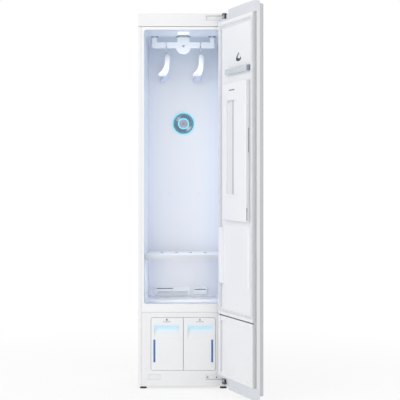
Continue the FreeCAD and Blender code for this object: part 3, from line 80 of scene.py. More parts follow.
class Wiring:
    # a node tree, with short ways to add a node, link two sockets and reckon with their values
    def __init__(self, tree):
        self.tree = tree

    def add(self, kind, **settings):
        node = self.tree.nodes.new("ShaderNode" + kind)
        for key, value in settings.items():
            setattr(node, key, value)
        return node

    def link(self, start, end):
        self.tree.links.new(start, end)

    def feed(self, socket, value):
        # a fixed number or colour goes on the socket itself, and another node's output is linked to it
        if isinstance(value, (int, float, tuple)):
            socket.default_value = value
        elif value is not None:
            self.link(value, socket)

    def math(self, kind, first, second=None):
        node = self.add("Math", operation=kind)
        self.feed(node.inputs[0], first)
        self.feed(node.inputs[1], second)
        return node.outputs[0]


class Shader(Wiring):
    # a material with its node tree, so that a finish reads as a short list of links
    def __init__(self, name, roughness=0.5, specular=0.5, metallic=0.0, coat=0.0):
        self.material = bpy.data.materials.new(name)
        self.material.use_nodes = True
        super().__init__(self.material.node_tree)
        self.surface = self.tree.nodes["Principled BSDF"]
        sockets = ("Roughness", "Specular IOR Level", "Metallic", "Coat Weight", "IOR")
        for socket, value in zip(sockets, (roughness, specular, metallic, coat, 1.5)):
            self.plain(socket, value)
        self.place = self.add("TexCoord").outputs["Object"]

    def plain(self, socket, value):
        # one value all over the surface
        self.surface.inputs[socket].default_value = value

    def axis(self, letter):
        # one coordinate of the object's own space
        split = self.add("SeparateXYZ")
        self.link(self.place, split.inputs[0])
        return split.outputs[letter]

    def closedDoor(self):
        # from here on the pattern lies on the closed door: X across it and Y through it
        angle = -doorFrame["turn"]
        cosine, sine = math.cos(angle), math.sin(angle)
        x, y = doorHinge["pos_m"][:2]
        mapping = self.add("Mapping")
        mapping.inputs["Rotation"].default_value = (0, 0, angle)
        mapping.inputs["Location"].default_value = (x - cosine * x + sine * y, y - sine * x - cosine * y, 0)
        self.link(self.place, mapping.inputs["Vector"])
        self.place = mapping.outputs["Vector"]

    def ramp(self, value, low, high, start=0.0, end=1.0):
        # a straight run from start to end as value goes from low to high, held beyond
        node = self.add("MapRange")
        node.clamp = True
        for key, number in (("From Min", low), ("From Max", high), ("To Min", start), ("To Max", end)):
            node.inputs[key].default_value = number
        self.link(value, node.inputs["Value"])
        return node.outputs["Result"]

    def above(self, value, edge, soft=0.0003):
        # 0 up to the edge and 1 from a soft step past it
        return self.ramp(value, edge, edge + soft)

    def below(self, value, edge, soft=0.0003):
        # 1 up to the edge and 0 from a soft step past it
        return self.ramp(value, edge, edge + soft, 1.0, 0.0)

    def both(self, first, *others):
        # where all of these hold
        for other in others:
            first = self.math("MULTIPLY", first, other)
        return first

    def between(self, value, low, high, soft=0.0003):
        # 1 where value lies from low to high, 0 outside, with soft edges
        return self.both(self.above(value, low - soft, soft), self.below(value, high, soft))

    def noise(self, scale, detail=2.0, rough=0.5, stretch=None):
        noise = self.add("TexNoise")
        noise.inputs["Scale"].default_value = scale
        noise.inputs["Detail"].default_value = detail
        noise.inputs["Roughness"].default_value = rough
        source = self.place
        if stretch:
            mapping = self.add("Mapping")
            mapping.inputs["Scale"].default_value = stretch
            self.link(source, mapping.inputs["Vector"])
            source = mapping.outputs["Vector"]
        self.link(source, noise.inputs["Vector"])
        return noise.outputs["Fac"]

    def scratches(self, stretch):
        # long fine lines along the axis that is stretched least
        return self.noise(1.0, 4.0, 0.6, stretch)

    def spread(self, noise, start=0.0, end=1.0):
        # the middle of a noise's range, drawn out to run from start to end
        return self.ramp(noise, 0.3, 0.7, start, end)

    def mix(self, factor, first, second):
        node = self.add("Mix", data_type="RGBA")
        for number, value in ((0, factor), (6, first), (7, second)):
            self.feed(node.inputs[number], value)
        return node.outputs[2]

    def colour(self, value):
        self.link(value, self.surface.inputs["Base Color"])

    def light(self, value, strength):
        self.link(value, self.surface.inputs["Emission Color"])
        self.plain("Emission Strength", strength)

    def rough(self, value):
        self.link(value, self.surface.inputs["Roughness"])

    def gloss(self, low, high, scale=30, detail=2.0):
        # roughness that wanders from low to high
        self.rough(self.spread(self.noise(scale, detail), low, high))

    def bump(self, height, strength, distance):
        node = self.add("Bump")
        node.inputs["Strength"].default_value = strength
        node.inputs["Distance"].default_value = distance
        self.link(height, node.inputs["Height"])
        self.link(node.outputs["Normal"], self.surface.inputs["Normal"])

    def grain(self, scale, strength, distance=0.0004):
        # very fine unevenness of the surface itself
        self.bump(self.noise(scale), strength, distance)


def dimmed(colour, share):
    return tuple(channel * share for channel in colour[:3]) + (1.0,)


def mottled(shader, colour, shift, scale):
    # the base colour, a touch darker in broad soft patches
    return shader.mix(shader.ramp(shader.noise(scale), 0.35, 0.65), colour, dimmed(colour, 1 - shift))


def dress(material, *names):
    for name in names:
        mesh = nodes[name].data
        mesh.materials.clear()
        mesh.materials.append(material)


# finishes

paint = {"colour": linear(246, 246, 247), "coat": 0.15, "peelScale": 420, "peel": 0.05, "peelDeep": 0.0006}


def powderPaint(name, colour, roughness=0.34):
    # coated steel: fine orange peel, slightly uneven gloss
    shader = Shader(name, roughness, coat=paint["coat"])
    shader.colour(mottled(shader, colour, 0.012, 3.0))
    shader.gloss(roughness - 0.04, roughness + 0.05, 14, 3.0)
    shader.grain(paint["peelScale"], paint["peel"], paint["peelDeep"])
    return shader.material


mouldGrain = 650


def mouldedPlastic(name, colour, roughness):
    # injection moulded plastic: very fine spark grain and faint flow marks
    shader = Shader(name, roughness)
    shader.colour(mottled(shader, colour, 0.02, 6.0))
    shader.gloss(roughness - 0.05, roughness + 0.06)
    shader.grain(mouldGrain, 0.06)
    return shader.material


def brushedMetal(name, colour, roughness, stretch=(900, 12, 12)):
    # drawn or turned metal: long fine scratches along one axis
    shader = Shader(name, roughness, metallic=1.0)
    lines = shader.scratches(stretch)
    shader.colour(shader.mix(shader.spread(lines), colour, dimmed(colour, 0.8)))
    shader.rough(shader.spread(lines, roughness - 0.06, roughness + 0.1))
    shader.bump(lines, 0.08, 0.0003)
    return shader.material


def rubberFinish(name, colour, roughness=0.7):
    shader = Shader(name, roughness, 0.3)
    shader.colour(mottled(shader, colour, 0.08, 40.0))
    shader.bump(shader.noise(900, 3.0), 0.15, 0.0004)
    return shader.material


dress(powderPaint("whitePaint", paint["colour"]), "left_side_panel", "right_side_panel", "top_cover")
dress(powderPaint("rearPaint", linear(214, 216, 218), 0.45), "back_cover", "base_pan")
dress(powderPaint("machineBlack", linear(38, 39, 41), 0.4), "compressor", "hanger_motor", "rear_fan_motor")
for name, colour, roughness, *covered in (
    ("panelWhite", (244, 244, 245), 0.34, "top_front_panel", "base_front_panel"),
    ("toeWhite", (240, 240, 241), 0.42, "toe_cover"),
    ("capGrey", (224, 227, 232), 0.45, "door_top_cap", "door_bottom_cap"),
    ("bayGrey", (196, 199, 203), 0.5, "tank_bay"),
    ("ductGrey", (160, 164, 168), 0.55, "rear_duct", "blower_housing", "control_box"),
    ("wheelGrey", (92, 96, 101), 0.45, "rear_fan_wheel", "blower_wheel", "left_roller", "right_roller"),
    ("footGrey", (70, 72, 76), 0.5, "left_foot", "right_foot"),
    ("lidGrey", (190, 195, 201), 0.45, "clean_tank_lid", "drain_tank_lid"),
    ("bushWhite", (230, 230, 226), 0.5, "hinge_bushes"),
):
    dress(mouldedPlastic(name, linear(*colour), roughness), *covered)
dress(rubberFinish("glandRubber", linear(28, 28, 29)), "cord_gland")
dress(rubberFinish("sealWhite", linear(232, 235, 238)), "door_gasket")
dress(rubberFinish("foamCream", linear(236, 230, 205), 0.9), "side_insulation", "door_core")
dress(brushedMetal("screwSteel", linear(205, 207, 210), 0.25), "back_screws")
dress(brushedMetal("railSteel", linear(196, 198, 202), 0.25, (8, 600, 600)), "slide_rail", "crank_disc")
dress(brushedMetal("coilAluminium", linear(210, 212, 214), 0.35), "heat_exchangers", "steam_generator")
print("plain finishes done")


# Each leaf has painted shade along its rim, and each folded arm is bare steel darkened with painted shade, with
# a painted highlight on the web between its two plates.
hingeLook = {
    "leaf": linear(240, 241, 242), "rim": linear(178, 180, 183), "rimWide": 0.0026, "rimAside": 0.0018,
    "leafEdge": 0.112, "leafTop": 1.838, "leafBottom": 0.046,
    "arm": linear(120, 122, 126), "scratch": (40, 600, 600), "scratched": 0.7, "metal": 0.8,
    "web": linear(236, 237, 239), "webEdge": 0.1985, "plate": 0.0045,
    "arms": ((0.030, 0.057), (1.818, 1.845)), "soft": 0.0004,
}


def hingeFinish():
    # coated leaf on the case, bare steel where the arm stands out of it
    look = hingeLook
    shader = Shader("hingeSteel", 0.34)
    across, height = shader.axis("X"), shader.axis("Z")
    isArm = shader.below(shader.axis("Y"), caseFront - look["soft"], look["soft"])
    scratched = shader.spread(shader.scratches(look["scratch"]))
    arm = shader.mix(scratched, look["arm"], dimmed(look["arm"], look["scratched"]))
    # the web between the two plates is painted light, as a lit face of the same steel
    inside = [shader.between(height, low + look["plate"], high - look["plate"]) for low, high in look["arms"]]
    onLitWeb = shader.both(shader.math("MAXIMUM", *inside), shader.below(across, look["webEdge"]))
    arm = shader.mix(onLitWeb, arm, look["web"])
    # painted shade along the leaf's left edge, top and bottom, where it meets its seat
    inRimShade = shader.below(across, look["leafEdge"] + look["rimAside"])
    inRimShade = shader.math("MAXIMUM", inRimShade, shader.above(height, look["leafTop"] - look["rimWide"] - 0.0003))
    inRimShade = shader.math("MAXIMUM", inRimShade, shader.below(height, look["leafBottom"] + look["rimWide"]))
    leaf = shader.mix(inRimShade, mottled(shader, look["leaf"], 0.02, 20.0), look["rim"])
    shader.colour(shader.mix(isArm, leaf, arm))
    bare = shader.both(isArm, shader.math("SUBTRACT", look["metal"], onLitWeb))
    shader.link(shader.math("MAXIMUM", bare, 0.0), shader.surface.inputs["Metallic"])
    return shader.material


dress(hingeFinish(), "upper_hinge", "lower_hinge")

# Depths are measured from the door's inner face into the door, and widths from its hinge edge.
doorLook = {
    # the grey and dark colours here are painted shade, and side is a painted dark reflection
    "edge": linear(232, 234, 237), "groove": linear(198, 200, 203), "grooveDeep": (-0.001, 0.0081),
    "end": linear(120, 122, 127), "endHeight": 0.0440,
    "liner": linear(248, 249, 251), "strip": 0.4275, "stripSoft": 0.0004,
    "band": linear(222, 224, 228), "bandAcross": (0.0270, 0.0350), "bandSoft": 0.003,
    "split": linear(96, 98, 103), "splitHeight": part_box("door_lower_panel")[1].z,
    "splitBand": (0.001, 0.006), "joint": (0.0008, 0.001),
    "skin": linear(238, 240, 242), "side": linear(196, 198, 202), "sideDeep": 0.0475, "sideSoft": 0.001,
}
stripX = doorFrame["edge"] - doorLook["strip"]


def doorEdgeFinish():
    # pale moulding with painted shade in its grip groove, darker at the groove's foot, and painted shade on the
    # frame where the gap between the liner's halves shows it
    shader = Shader("edgeGrey", 0.42)
    shader.closedDoor()
    near, far = doorLook["grooveDeep"]
    inGrooveShade = shader.between(shader.axis("Y"), doorFrame["inner"] - far, doorFrame["inner"] - near)
    height = shader.axis("Z")
    # painted shade on the frame behind the gap between the liner's halves
    under, over = doorLook["splitBand"]
    inSplitShade = shader.between(height, doorLook["splitHeight"] - under, doorLook["splitHeight"] + over)
    inSplitShade = shader.both(inSplitShade, shader.above(shader.axis("X"), stripX, doorLook["stripSoft"]))
    inFootShade = shader.both(inGrooveShade, shader.below(height, doorLook["endHeight"], 0.001))
    colour = shader.mix(inGrooveShade, mottled(shader, doorLook["edge"], 0.02, 6.0), doorLook["groove"])
    colour = shader.mix(inFootShade, colour, doorLook["end"])
    shader.colour(shader.mix(inSplitShade, colour, doorLook["split"]))
    shader.grain(mouldGrain, 0.06)
    return shader.material


def doorLinerFinish():
    # white moulding with painted shade in a strip beside the grip groove, in a band along its recess's near
    # wall, and along the gap between its two halves
    shader = Shader("doorWhite", 0.42)
    shader.closedDoor()
    across = shader.axis("X")
    inStripShade = shader.below(across, stripX, doorLook["stripSoft"])
    under, over = doorLook["joint"]
    inGapShade = shader.between(
        shader.axis("Z"), doorLook["splitHeight"] - under, doorLook["splitHeight"] + over, 0.0001
    )
    near, far = doorLook["bandAcross"]
    inRecessShade = shader.between(across, doorFrame["edge"] - far, doorFrame["edge"] - near, doorLook["bandSoft"])
    colour = shader.mix(inStripShade, mottled(shader, doorLook["liner"], 0.015, 6.0), doorLook["groove"])
    colour = shader.mix(inRecessShade, colour, doorLook["band"])
    shader.colour(shader.mix(inGapShade, colour, doorLook["split"]))
    shader.gloss(0.37, 0.48)
    shader.grain(mouldGrain, 0.06)
    return shader.material


def doorSkinFinish():
    # coated steel, with a painted dark reflection on the rounded edge along its sides
    shader = Shader("doorPaint", 0.3, coat=paint["coat"])
    shader.closedDoor()
    soft = doorLook["sideSoft"]
    # the painted dark reflection on the folded edge
    inEdgeReflection = shader.above(shader.axis("Y"), doorFrame["inner"] - doorLook["sideDeep"] - soft, soft)
    shader.colour(shader.mix(inEdgeReflection, mottled(shader, doorLook["skin"], 0.004, 3.0), doorLook["side"]))
    shader.gloss(0.33, 0.35, 14, 3.0)
    shader.grain(paint["peelScale"], paint["peel"] / 2, paint["peelDeep"])
    return shader.material


dress(doorEdgeFinish(), "door_frame")
dress(doorLinerFinish(), "door_liner", "door_lower_panel")
dress(doorSkinFinish(), "door_skin")

presserLook = {
    # the grey and dark colours here are painted shade
    "white": linear(249, 250, 252), "shade": linear(238, 239, 242), "slit": linear(66, 68, 73),
    "side": linear(226, 228, 231), "sideWide": 0.0002, "groove": linear(168, 170, 175),
    "grooveV": (0.0138, 0.0172), "grooveU": 0.0042, "grooveZ": (0.842, 0.891), "eyeZ": (0.888, 0.900),
    "slitU": 0.225, "slitHalf": 0.0031, "slitDeep": 0.0002, "windowU": 0.160, "windowSoft": 0.004,
    "face": 0.022, "panelDepth": 0.008, "shadeDeep": (0.0002, 0.0070),
}


def presserFinish():
    # white plate: painted shade greys its long recess up to the steam slit, darkens the slit's inside and greys
    # its free side
    shader = Shader("presserWhite", 0.42)
    shader.closedDoor()
    look = presserLook
    middle = doorFrame["edge"] - look["slitU"]
    floor = doorFrame["inner"] + look["face"] - look["panelDepth"]
    farSide = doorFrame["edge"] - presserFar
    across, deep, height = (shader.axis(letter) for letter in "XYZ")
    inShade = shader.both(
        shader.between(deep, floor - look["shadeDeep"][0], floor + look["shadeDeep"][1], 0.0004),
        shader.between(across, middle, doorFrame["edge"] - look["windowU"], look["windowSoft"]),
    )
    # painted shade on the steam slit's walls
    inSlitShade = shader.both(
        shader.between(across, middle - look["slitHalf"], middle + look["slitHalf"], 0.0001),
        shader.below(deep, floor + look["slitDeep"], look["slitDeep"]),
    )
    # painted shade on the free side face
    onSideShade = shader.below(across, farSide + look["sideWide"], 0.001)
    colour = shader.mix(inShade, mottled(shader, look["white"], 0.015, 6.0), look["shade"])
    colour = shader.mix(onSideShade, colour, look["side"])
    colour = shader.mix(inSlitShade, colour, look["slit"])
    # the latch: painted shade in a shallow groove up the free side, darker in the eye at its top
    atLatch = shader.both(
        shader.between(deep, *(doorFrame["inner"] + v for v in look["grooveV"])),
        shader.below(across, farSide + look["grooveU"], 0.0004),
    )
    colour = shader.mix(shader.both(atLatch, shader.between(height, *look["grooveZ"])), colour, look["groove"])
    shader.colour(shader.mix(shader.both(atLatch, shader.between(height, *look["eyeZ"])), colour, look["slit"]))
    shader.gloss(0.38, 0.48)
    shader.grain(mouldGrain, 0.05)
    return shader.material


dress(presserFinish(), "presser_base", "presser_plate")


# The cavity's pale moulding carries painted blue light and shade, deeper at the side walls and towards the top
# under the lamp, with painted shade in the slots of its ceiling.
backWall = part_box("fan_bezel")[1].y
cavityLook = {
    # the blue side and upper tints are painted light and shade, and the dark colours painted shade
    "centre": linear(235, 236, 239), "side": linear(226, 232, 243), "sideFrom": (0.09, 0.19),
    "upper": linear(226, 236, 249), "upperFrom": (1.45, 1.76), "upperShare": 0.7,
    "flange": linear(246, 247, 248), "flangeThick": 0.0032,
    "lip": linear(92, 104, 124), "lipHalf": 0.0125, "lipFrom": 1.69,
    "armSlot": (0.1275, 0.1655), "middleSlot": 0.037, "outlet": (0.054, 0.122, 0.430, 0.462),
    "dark": linear(92, 96, 108), "fitting": linear(243, 246, 249), "fittingSide": linear(233, 238, 246),
    "fittingUpper": linear(240, 245, 250),
}


def cavityShader(name, centre, side, upper):
    # the moulding's colour, with painted blue light and shade over the cavity's width and height
    shader = Shader(name, 0.4, 0.45)
    across = shader.math("ABSOLUTE", shader.axis("X"))
    colour = shader.mix(shader.ramp(across, *cavityLook["sideFrom"]), centre, side)
    toTop = shader.ramp(shader.axis("Z"), *cavityLook["upperFrom"], 0.0, cavityLook["upperShare"])
    shader.gloss(0.35, 0.46, 22)
    shader.grain(500, 0.05, 0.0005)
    return shader, across, shader.mix(toTop, colour, upper)


def linerFinish():
    look = cavityLook
    shader, across, colour = cavityShader("cavityPlastic", look["centre"], look["side"], look["upper"])
    deep, height = shader.axis("Y"), shader.axis("Z")
    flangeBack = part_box("cavity_liner")[0].y + look["flangeThick"]
    colour = shader.mix(shader.above(deep, flangeBack, 0.0002), look["flange"], colour)
    # painted shade in the ceiling's slots round the bar's arms and its middle
    inArm, inMiddle = shader.between(across, *look["armSlot"]), shader.below(across, look["middleSlot"])
    atBar = shader.between(deep, barY - look["lipHalf"], barY + look["lipHalf"])
    inSlot = shader.math("MAXIMUM", inArm, inMiddle)
    inSlotShade = shader.both(inSlot, shader.above(height, look["lipFrom"], 0.01), atBar)
    colour = shader.mix(inSlotShade, colour, look["lip"])
    # the wall behind the steam outlet's hood lies in the dark
    left, right, low, high = look["outlet"]
    inOutlet = shader.both(shader.between(shader.axis("X"), left, right), shader.between(height, low, high))
    shader.colour(shader.mix(inOutlet, colour, look["dark"]))
    return shader.material


def fittingFinish(name="fittingPlastic", hollows=(), dark=cavityLook["dark"], front=None):
    # whiter mouldings in the cavity, with its painted blue light; each hollow is the box of a recess painted
    # dark as shade, its first pair measured outwards from the middle, and front is the depth of an edge painted
    # greyer as shade
    look = cavityLook
    shader, across, colour = cavityShader(name, look["fitting"], look["fittingSide"], look["fittingUpper"])
    deep, height = shader.axis("Y"), shader.axis("Z")
    if front is not None:
        colour = shader.mix(shader.below(deep, front), colour, shelfLook["edge"])
    for hollow in hollows:
        sides = [shader.between(value, *pair, 0.0001) for value, pair in zip((across, deep, height), hollow)]
        colour = shader.mix(shader.both(*sides), colour, dark)
    shader.colour(colour)
    return shader.material


# the shelf's front edge and its notches carry painted shade
shelfLook = {
    "edge": linear(229, 231, 235), "edgeDeep": 0.002, "notch": linear(84, 90, 106), "notchX": (0.037, 0.111),
    "notchY": 0.248, "notchHalf": (0.0083, 0.0203), "plate": 0.0005,
}
shelfLow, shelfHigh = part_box("shelf")
notchHalf, notchReach = shelfLook["notchHalf"]
notchY = caseFront + shelfLook["notchY"]
shelfNotches = [
    (
        (x - notchHalf, x + notchHalf),
        (notchY - notchReach, notchY + notchReach),
        (shelfLow.z, shelfHigh.z - shelfLook["plate"]),
    )
    for x in shelfLook["notchX"]
]
# the lint filter's finger slot is painted dark as shade
filterSet = {"slotX": (0.098, 0.006), "slotY": 0.0008, "slotDown": (0.0096, 0.0040)}
filterLow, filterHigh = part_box("lint_filter")
filterSlot = (
    tuple(-filterLow.x - inset for inset in filterSet["slotX"]),
    (filterLow.y + filterSet["slotY"], backWall),
    tuple(filterHigh.z - down for down in filterSet["slotDown"]),
)
# painted shade in the hanger bar's dimple
barLook = {"dimple": linear(176, 186, 204), "acrossX": (-0.001, 0.010), "deep": 0.0062, "upZ": (1.7035, 1.7172)}
barDimple = (barLook["acrossX"], (barY - barLook["deep"], barY), barLook["upZ"])
dress(linerFinish(), "cavity_liner")
dress(fittingFinish(), "steam_nozzle", "fan_bezel")
shelfEdge = shelfLow.y + shelfLook["edgeDeep"]
dress(fittingFinish("shelfPlastic", shelfNotches, shelfLook["notch"], shelfEdge), "shelf")
dress(fittingFinish("filterPlastic", (filterSlot,)), "lint_filter")
dress(fittingFinish("barPlastic", (barDimple,), barLook["dimple"]), "hanger_bar")


hangerLook = {"near": linear(250, 251, 253), "far": linear(206, 217, 238), "farFrom": (0.01, 0.10)}


def hangerFinish():
    # white gloss plastic, with painted blue shade on its far shoulder
    shader = Shader("hangerWhite", 0.25)
    near, far = (barY + back for back in hangerLook["farFrom"])
    intoFarShade = shader.ramp(shader.axis("Y"), near, far)
    shader.colour(shader.mix(intoFarShade, mottled(shader, hangerLook["near"], 0.02, 6.0), hangerLook["far"]))
    shader.grain(700, 0.02)
    return shader.material


dress(hangerFinish(), "left_hanger", "right_hanger")


glow = {
    "ring": linear(100, 197, 212), "ringStrength": 0.85, "lamp": linear(238, 244, 250), "lampStrength": 0.42,
    "lampEdge": 1.7514, "lampRim": linear(128, 136, 150),
}
noLight = (0, 0, 0, 1)


def glowing(name, colour, strength, dark=None):
    # a diffusing light guide: the colour is in the plastic and the light comes evenly through it;
    # dark gives the height below which its light is shut off, and the colour of the painted shade there
    shader = Shader(name, 0.3)
    body, light = mottled(shader, colour, 0.06, 60.0), mottled(shader, colour, 0.12, 45.0)
    if dark:
        over = shader.above(shader.axis("Z"), dark[0])
        body, light = shader.mix(over, dark[1], body), shader.mix(over, noLight, light)
    shader.colour(body)
    shader.light(light, strength)
    return shader.material


dress(glowing("ringGlow", glow["ring"], glow["ringStrength"]), "fan_light_rings")
# painted shade along the lamp's lower edge
lampRim = (glow["lampEdge"], glow["lampRim"])
dress(glowing("lampGlow", glow["lamp"], glow["lampStrength"], lampRim), "cavity_lamp")


# Metal seen inside the fan's light: painted cyan light from the ring makes it bluer near the rim, and two
# painted highlights lie across one diagonal.
fanLook = {
    "middle": (0.0, 1.325), "inner": linear(150, 150, 162), "outer": linear(126, 160, 178),
    "outerFrom": (0.030, 0.049), "bright": linear(222, 222, 232), "patch": (0.30, 0.50),
    "patchFade": (0.040, 0.047), "cap": linear(174, 165, 180), "dot": linear(138, 138, 148),
    "dotRadius": (0.0045, 0.0072), "scratch": (200, 60, 200), "scratched": 0.3,
}


def fanMetal(name, roughness, isCap):
    look = fanLook
    shader = Shader(name, roughness, metallic=1.0)
    x = shader.math("SUBTRACT", shader.axis("X"), look["middle"][0])
    z = shader.math("SUBTRACT", shader.axis("Z"), look["middle"][1])
    square = shader.math("ADD", shader.both(x, x), shader.both(z, z))
    radius = shader.math("SQRT", square)
    if isCap:
        colour = shader.mix(shader.ramp(radius, *look["dotRadius"]), look["dot"], look["cap"])
    else:
        # painted cyan light from the outer ring, bluer towards the rim
        colour = shader.mix(shader.ramp(radius, *look["outerFrom"]), look["inner"], look["outer"])
        # two painted highlights, where turned metal would catch the light
        # minus x times z over the radius squared is greatest halfway round the upper left and the lower right
        side = shader.math("DIVIDE", shader.both(x, z), shader.math("MAXIMUM", square, 1e-6))
        patch = shader.ramp(shader.both(side, -1.0), *look["patch"])
        fade = shader.ramp(radius, *look["patchFade"], 1.0, 0.0)
        colour = shader.mix(shader.both(patch, fade), colour, look["bright"])
    lines = shader.scratches(look["scratch"])
    shader.colour(shader.mix(shader.spread(lines, 0.0, look["scratched"]), colour, noLight))
    shader.rough(shader.spread(lines, roughness - 0.06, roughness + 0.1))
    shader.bump(lines, 0.08, 0.0003)
    return shader.material


dress(fanMetal("vaneSteel", 0.40, False), "fan_guide_vanes")
dress(fanMetal("capSteel", 0.42, True), "fan_cap")


# Heights are measured down from the top of the tank's front.
tankLook = {
    "white": linear(244, 245, 246), "recess": 0.0012, "recessSoft": 0.0008,
    "glow": linear(206, 240, 255), "glowStrength": 0.24, "fade": (0.080, 0.040), "fadePower": 1.6,
    "glowTop": 0.0385, "line": linear(140, 188, 212), "lineHigh": 0.0025, "lineSoft": 0.0005,
    "bar": linear(58, 112, 176), "barStrength": 0.25, "water": linear(214, 228, 240), "clear": 0.25,
}


def tankFrontFinish():
    # white moulding with painted light in its grip recess, brightest under its top edge and fading downwards,
    # and a line of painted shade under that edge
    look = tankLook
    shader = Shader("tankWhite", 0.3)
    low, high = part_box("clean_tank_front")
    inside = shader.above(shader.axis("Y"), low.y + look["recess"], look["recessSoft"])
    height = shader.axis("Z")
    faint, full = (high.z - down for down in look["fade"])
    top, soft = high.z - look["glowTop"], look["lineSoft"]
    fade = shader.math("POWER", shader.ramp(height, faint, full), look["fadePower"])
    # painted light that fades down the grip recess, and a line of painted shade under its top edge
    paintedGlow = shader.both(inside, fade, shader.below(height, top, soft))
    browShade = shader.both(inside, shader.between(height, top - look["lineHigh"], top, soft))
    colour = shader.mix(paintedGlow, mottled(shader, look["white"], 0.01, 5.0), look["glow"])
    shader.colour(shader.mix(browShade, colour, look["line"]))
    shader.light(shader.mix(paintedGlow, noLight, look["glow"]), look["glowStrength"])
    shader.grain(mouldGrain, 0.04)
    return shader.material


def tankBodyFinish():
    # frosted vessel, with the level bar in clear blue and painted light glowing in it
    look = tankLook
    shader = Shader("tankClear", 0.22)
    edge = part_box("clean_tank_front")[1].y
    isBar = shader.ramp(shader.axis("Y"), edge + 0.0002, edge - 0.0002)
    shader.colour(shader.mix(isBar, mottled(shader, look["water"], 0.05, 8.0), look["bar"]))
    shader.light(shader.mix(isBar, noLight, look["bar"]), look["barStrength"])
    shader.plain("Transmission Weight", look["clear"])
    shader.grain(300, 0.05)
    return shader.material


dress(tankFrontFinish(), "clean_tank_front", "drain_tank_front")
dress(tankBodyFinish(), "clean_tank_body", "drain_tank_body")


trayLook = {"clear": linear(242, 246, 252), "through": 0.3, "end": linear(156, 163, 176), "endX": -0.163}


def trayFinish():
    # smoky translucent plastic, darker at the free end
    shader = Shader("traySmoke", 0.25)
    shader.closedDoor()
    towardEnd = shader.below(shader.axis("X"), trayLook["endX"], 0.002)
    shader.colour(shader.mix(towardEnd, mottled(shader, trayLook["clear"], 0.06, 30.0), trayLook["end"]))
    shader.plain("Transmission Weight", trayLook["through"])
    shader.grain(500, 0.05)
    return shader.material


dress(trayFinish(), "aroma_tray")
print("cavity, tank and tray finishes done")


# numpy surfaces

def gridMesh(points, closeAlong=False, closeAround=False, capStart=False, capEnd=False):
    # points is rows x columns x 3; each cell of the grid becomes one four-sided face
    rows, columns = points.shape[:2]
    index = np.arange(rows * columns).reshape(rows, columns)
    if closeAlong:
        index = np.vstack([index, index[:1]])
    if closeAround:
        index = np.hstack([index, index[:, :1]])
    quads = np.stack([index[:-1, :-1], index[:-1, 1:], index[1:, 1:], index[1:, :-1]], axis=-1)
    faces = quads.reshape(-1, 4).tolist()
    if capStart:
        faces.append(index[0, :columns].tolist())
    if capEnd:
        faces.append(index[-1, :columns][::-1].tolist())
    mesh = bpy.data.meshes.new("surface")
    mesh.from_pydata(points.reshape(-1, 3).tolist(), [], faces)
    return mesh


def cappedMesh(points):
    # a closed skin: its columns meet round it, and one face closes each end
    return gridMesh(points, closeAround=True, capStart=True, capEnd=True)


def joinMeshes(meshes):
    work = bmesh.new()
    for mesh in meshes:
        work.from_mesh(mesh)
        bpy.data.meshes.remove(mesh)
    whole = bpy.data.meshes.new("surface")
    work.to_mesh(whole)
    work.free()
    return whole


def weld(mesh):
    # corners that meet become one, and every face looks outwards
    work = bmesh.new()
    work.from_mesh(mesh)
    bmesh.ops.remove_doubles(work, verts=work.verts, dist=1e-6)
    bmesh.ops.recalc_face_normals(work, faces=work.faces)
    work.to_mesh(mesh)
    work.free()
    return mesh


def settle(name, mesh, finish, body, replaced=None, sharp=38):
    # one finished piece: soft shading with crisp edges, its finish, its body and what it stands for
    weld(mesh)
    mesh.name = name
    mesh.polygons.foreach_set("use_smooth", [True] * len(mesh.polygons))
    mesh.set_sharp_from_angle(angle=math.radians(sharp))
    mesh.materials.clear()
    mesh.materials.append(bpy.data.materials[finish])
    piece = bpy.data.objects.new(name, mesh)
    scene.collection.objects.link(piece)
    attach(piece, body)
    if replaced:
        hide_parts(replaced)
    return piece


def squared(wave, power):
    # a sine or cosine pressed towards a square: its size to the given power, its sign kept
    return np.sign(wave) * np.abs(wave) ** power


def roundedFrame(halfWide, halfHigh, corner, steps):
    # a rectangle whose corners are quarter circles, and the outward direction at each of its points
    turn = np.linspace(0, math.pi / 2, steps)
    points, outward = [], []
    for number, (signX, signZ) in enumerate(((1, 1), (-1, 1), (-1, -1), (1, -1))):
        angle = turn + number * math.pi / 2
        outward.append(np.stack([np.cos(angle), np.sin(angle)], axis=-1))
        points.append(corner * outward[-1] + (signX * (halfWide - corner), signZ * (halfHigh - corner)))
    return np.vstack(points), np.vstack(outward)


def revolved(profile, centre, steps=72):
    # profile of (radius, distance forward) pairs turned about the front-to-back axis through centre
    profile = np.array(profile, float)
    turn = np.linspace(0, 2 * math.pi, steps, endpoint=False)
    x = centre[0] + profile[:, :1] * np.cos(turn)
    z = centre[2] + profile[:, :1] * np.sin(turn)
    y = centre[1] - profile[:, 1:] + 0 * x
    return np.stack([x, y, z], axis=-1)


def roundedPath(corners, radius, steps=8):
    # straight runs joined by arcs: each arc bends evenly from one run's direction to the next
    corners = np.array(corners, float)
    points = [corners[:1]]
    for before, here, after in zip(corners[:-2], corners[1:-1], corners[2:]):
        back = (before - here) / np.linalg.norm(before - here)
        onward = (after - here) / np.linalg.norm(after - here)
        half = math.acos(float(np.clip(back @ onward, -1, 1))) / 2
        middle = (back + onward) / np.linalg.norm(back + onward)
        centre = here + middle * radius / math.sin(half)
        start = here + back * radius / math.tan(half) - centre
        side = here + onward * radius / math.tan(half) - centre
        sweep = math.pi - 2 * half
        share = np.linspace(0, 1, steps + 1)[:, None]
        arc = np.sin((1 - share) * sweep) * start + np.sin(share * sweep) * side
        points.append(centre + arc / math.sin(sweep))
    points.append(corners[-1:])
    return np.vstack(points)


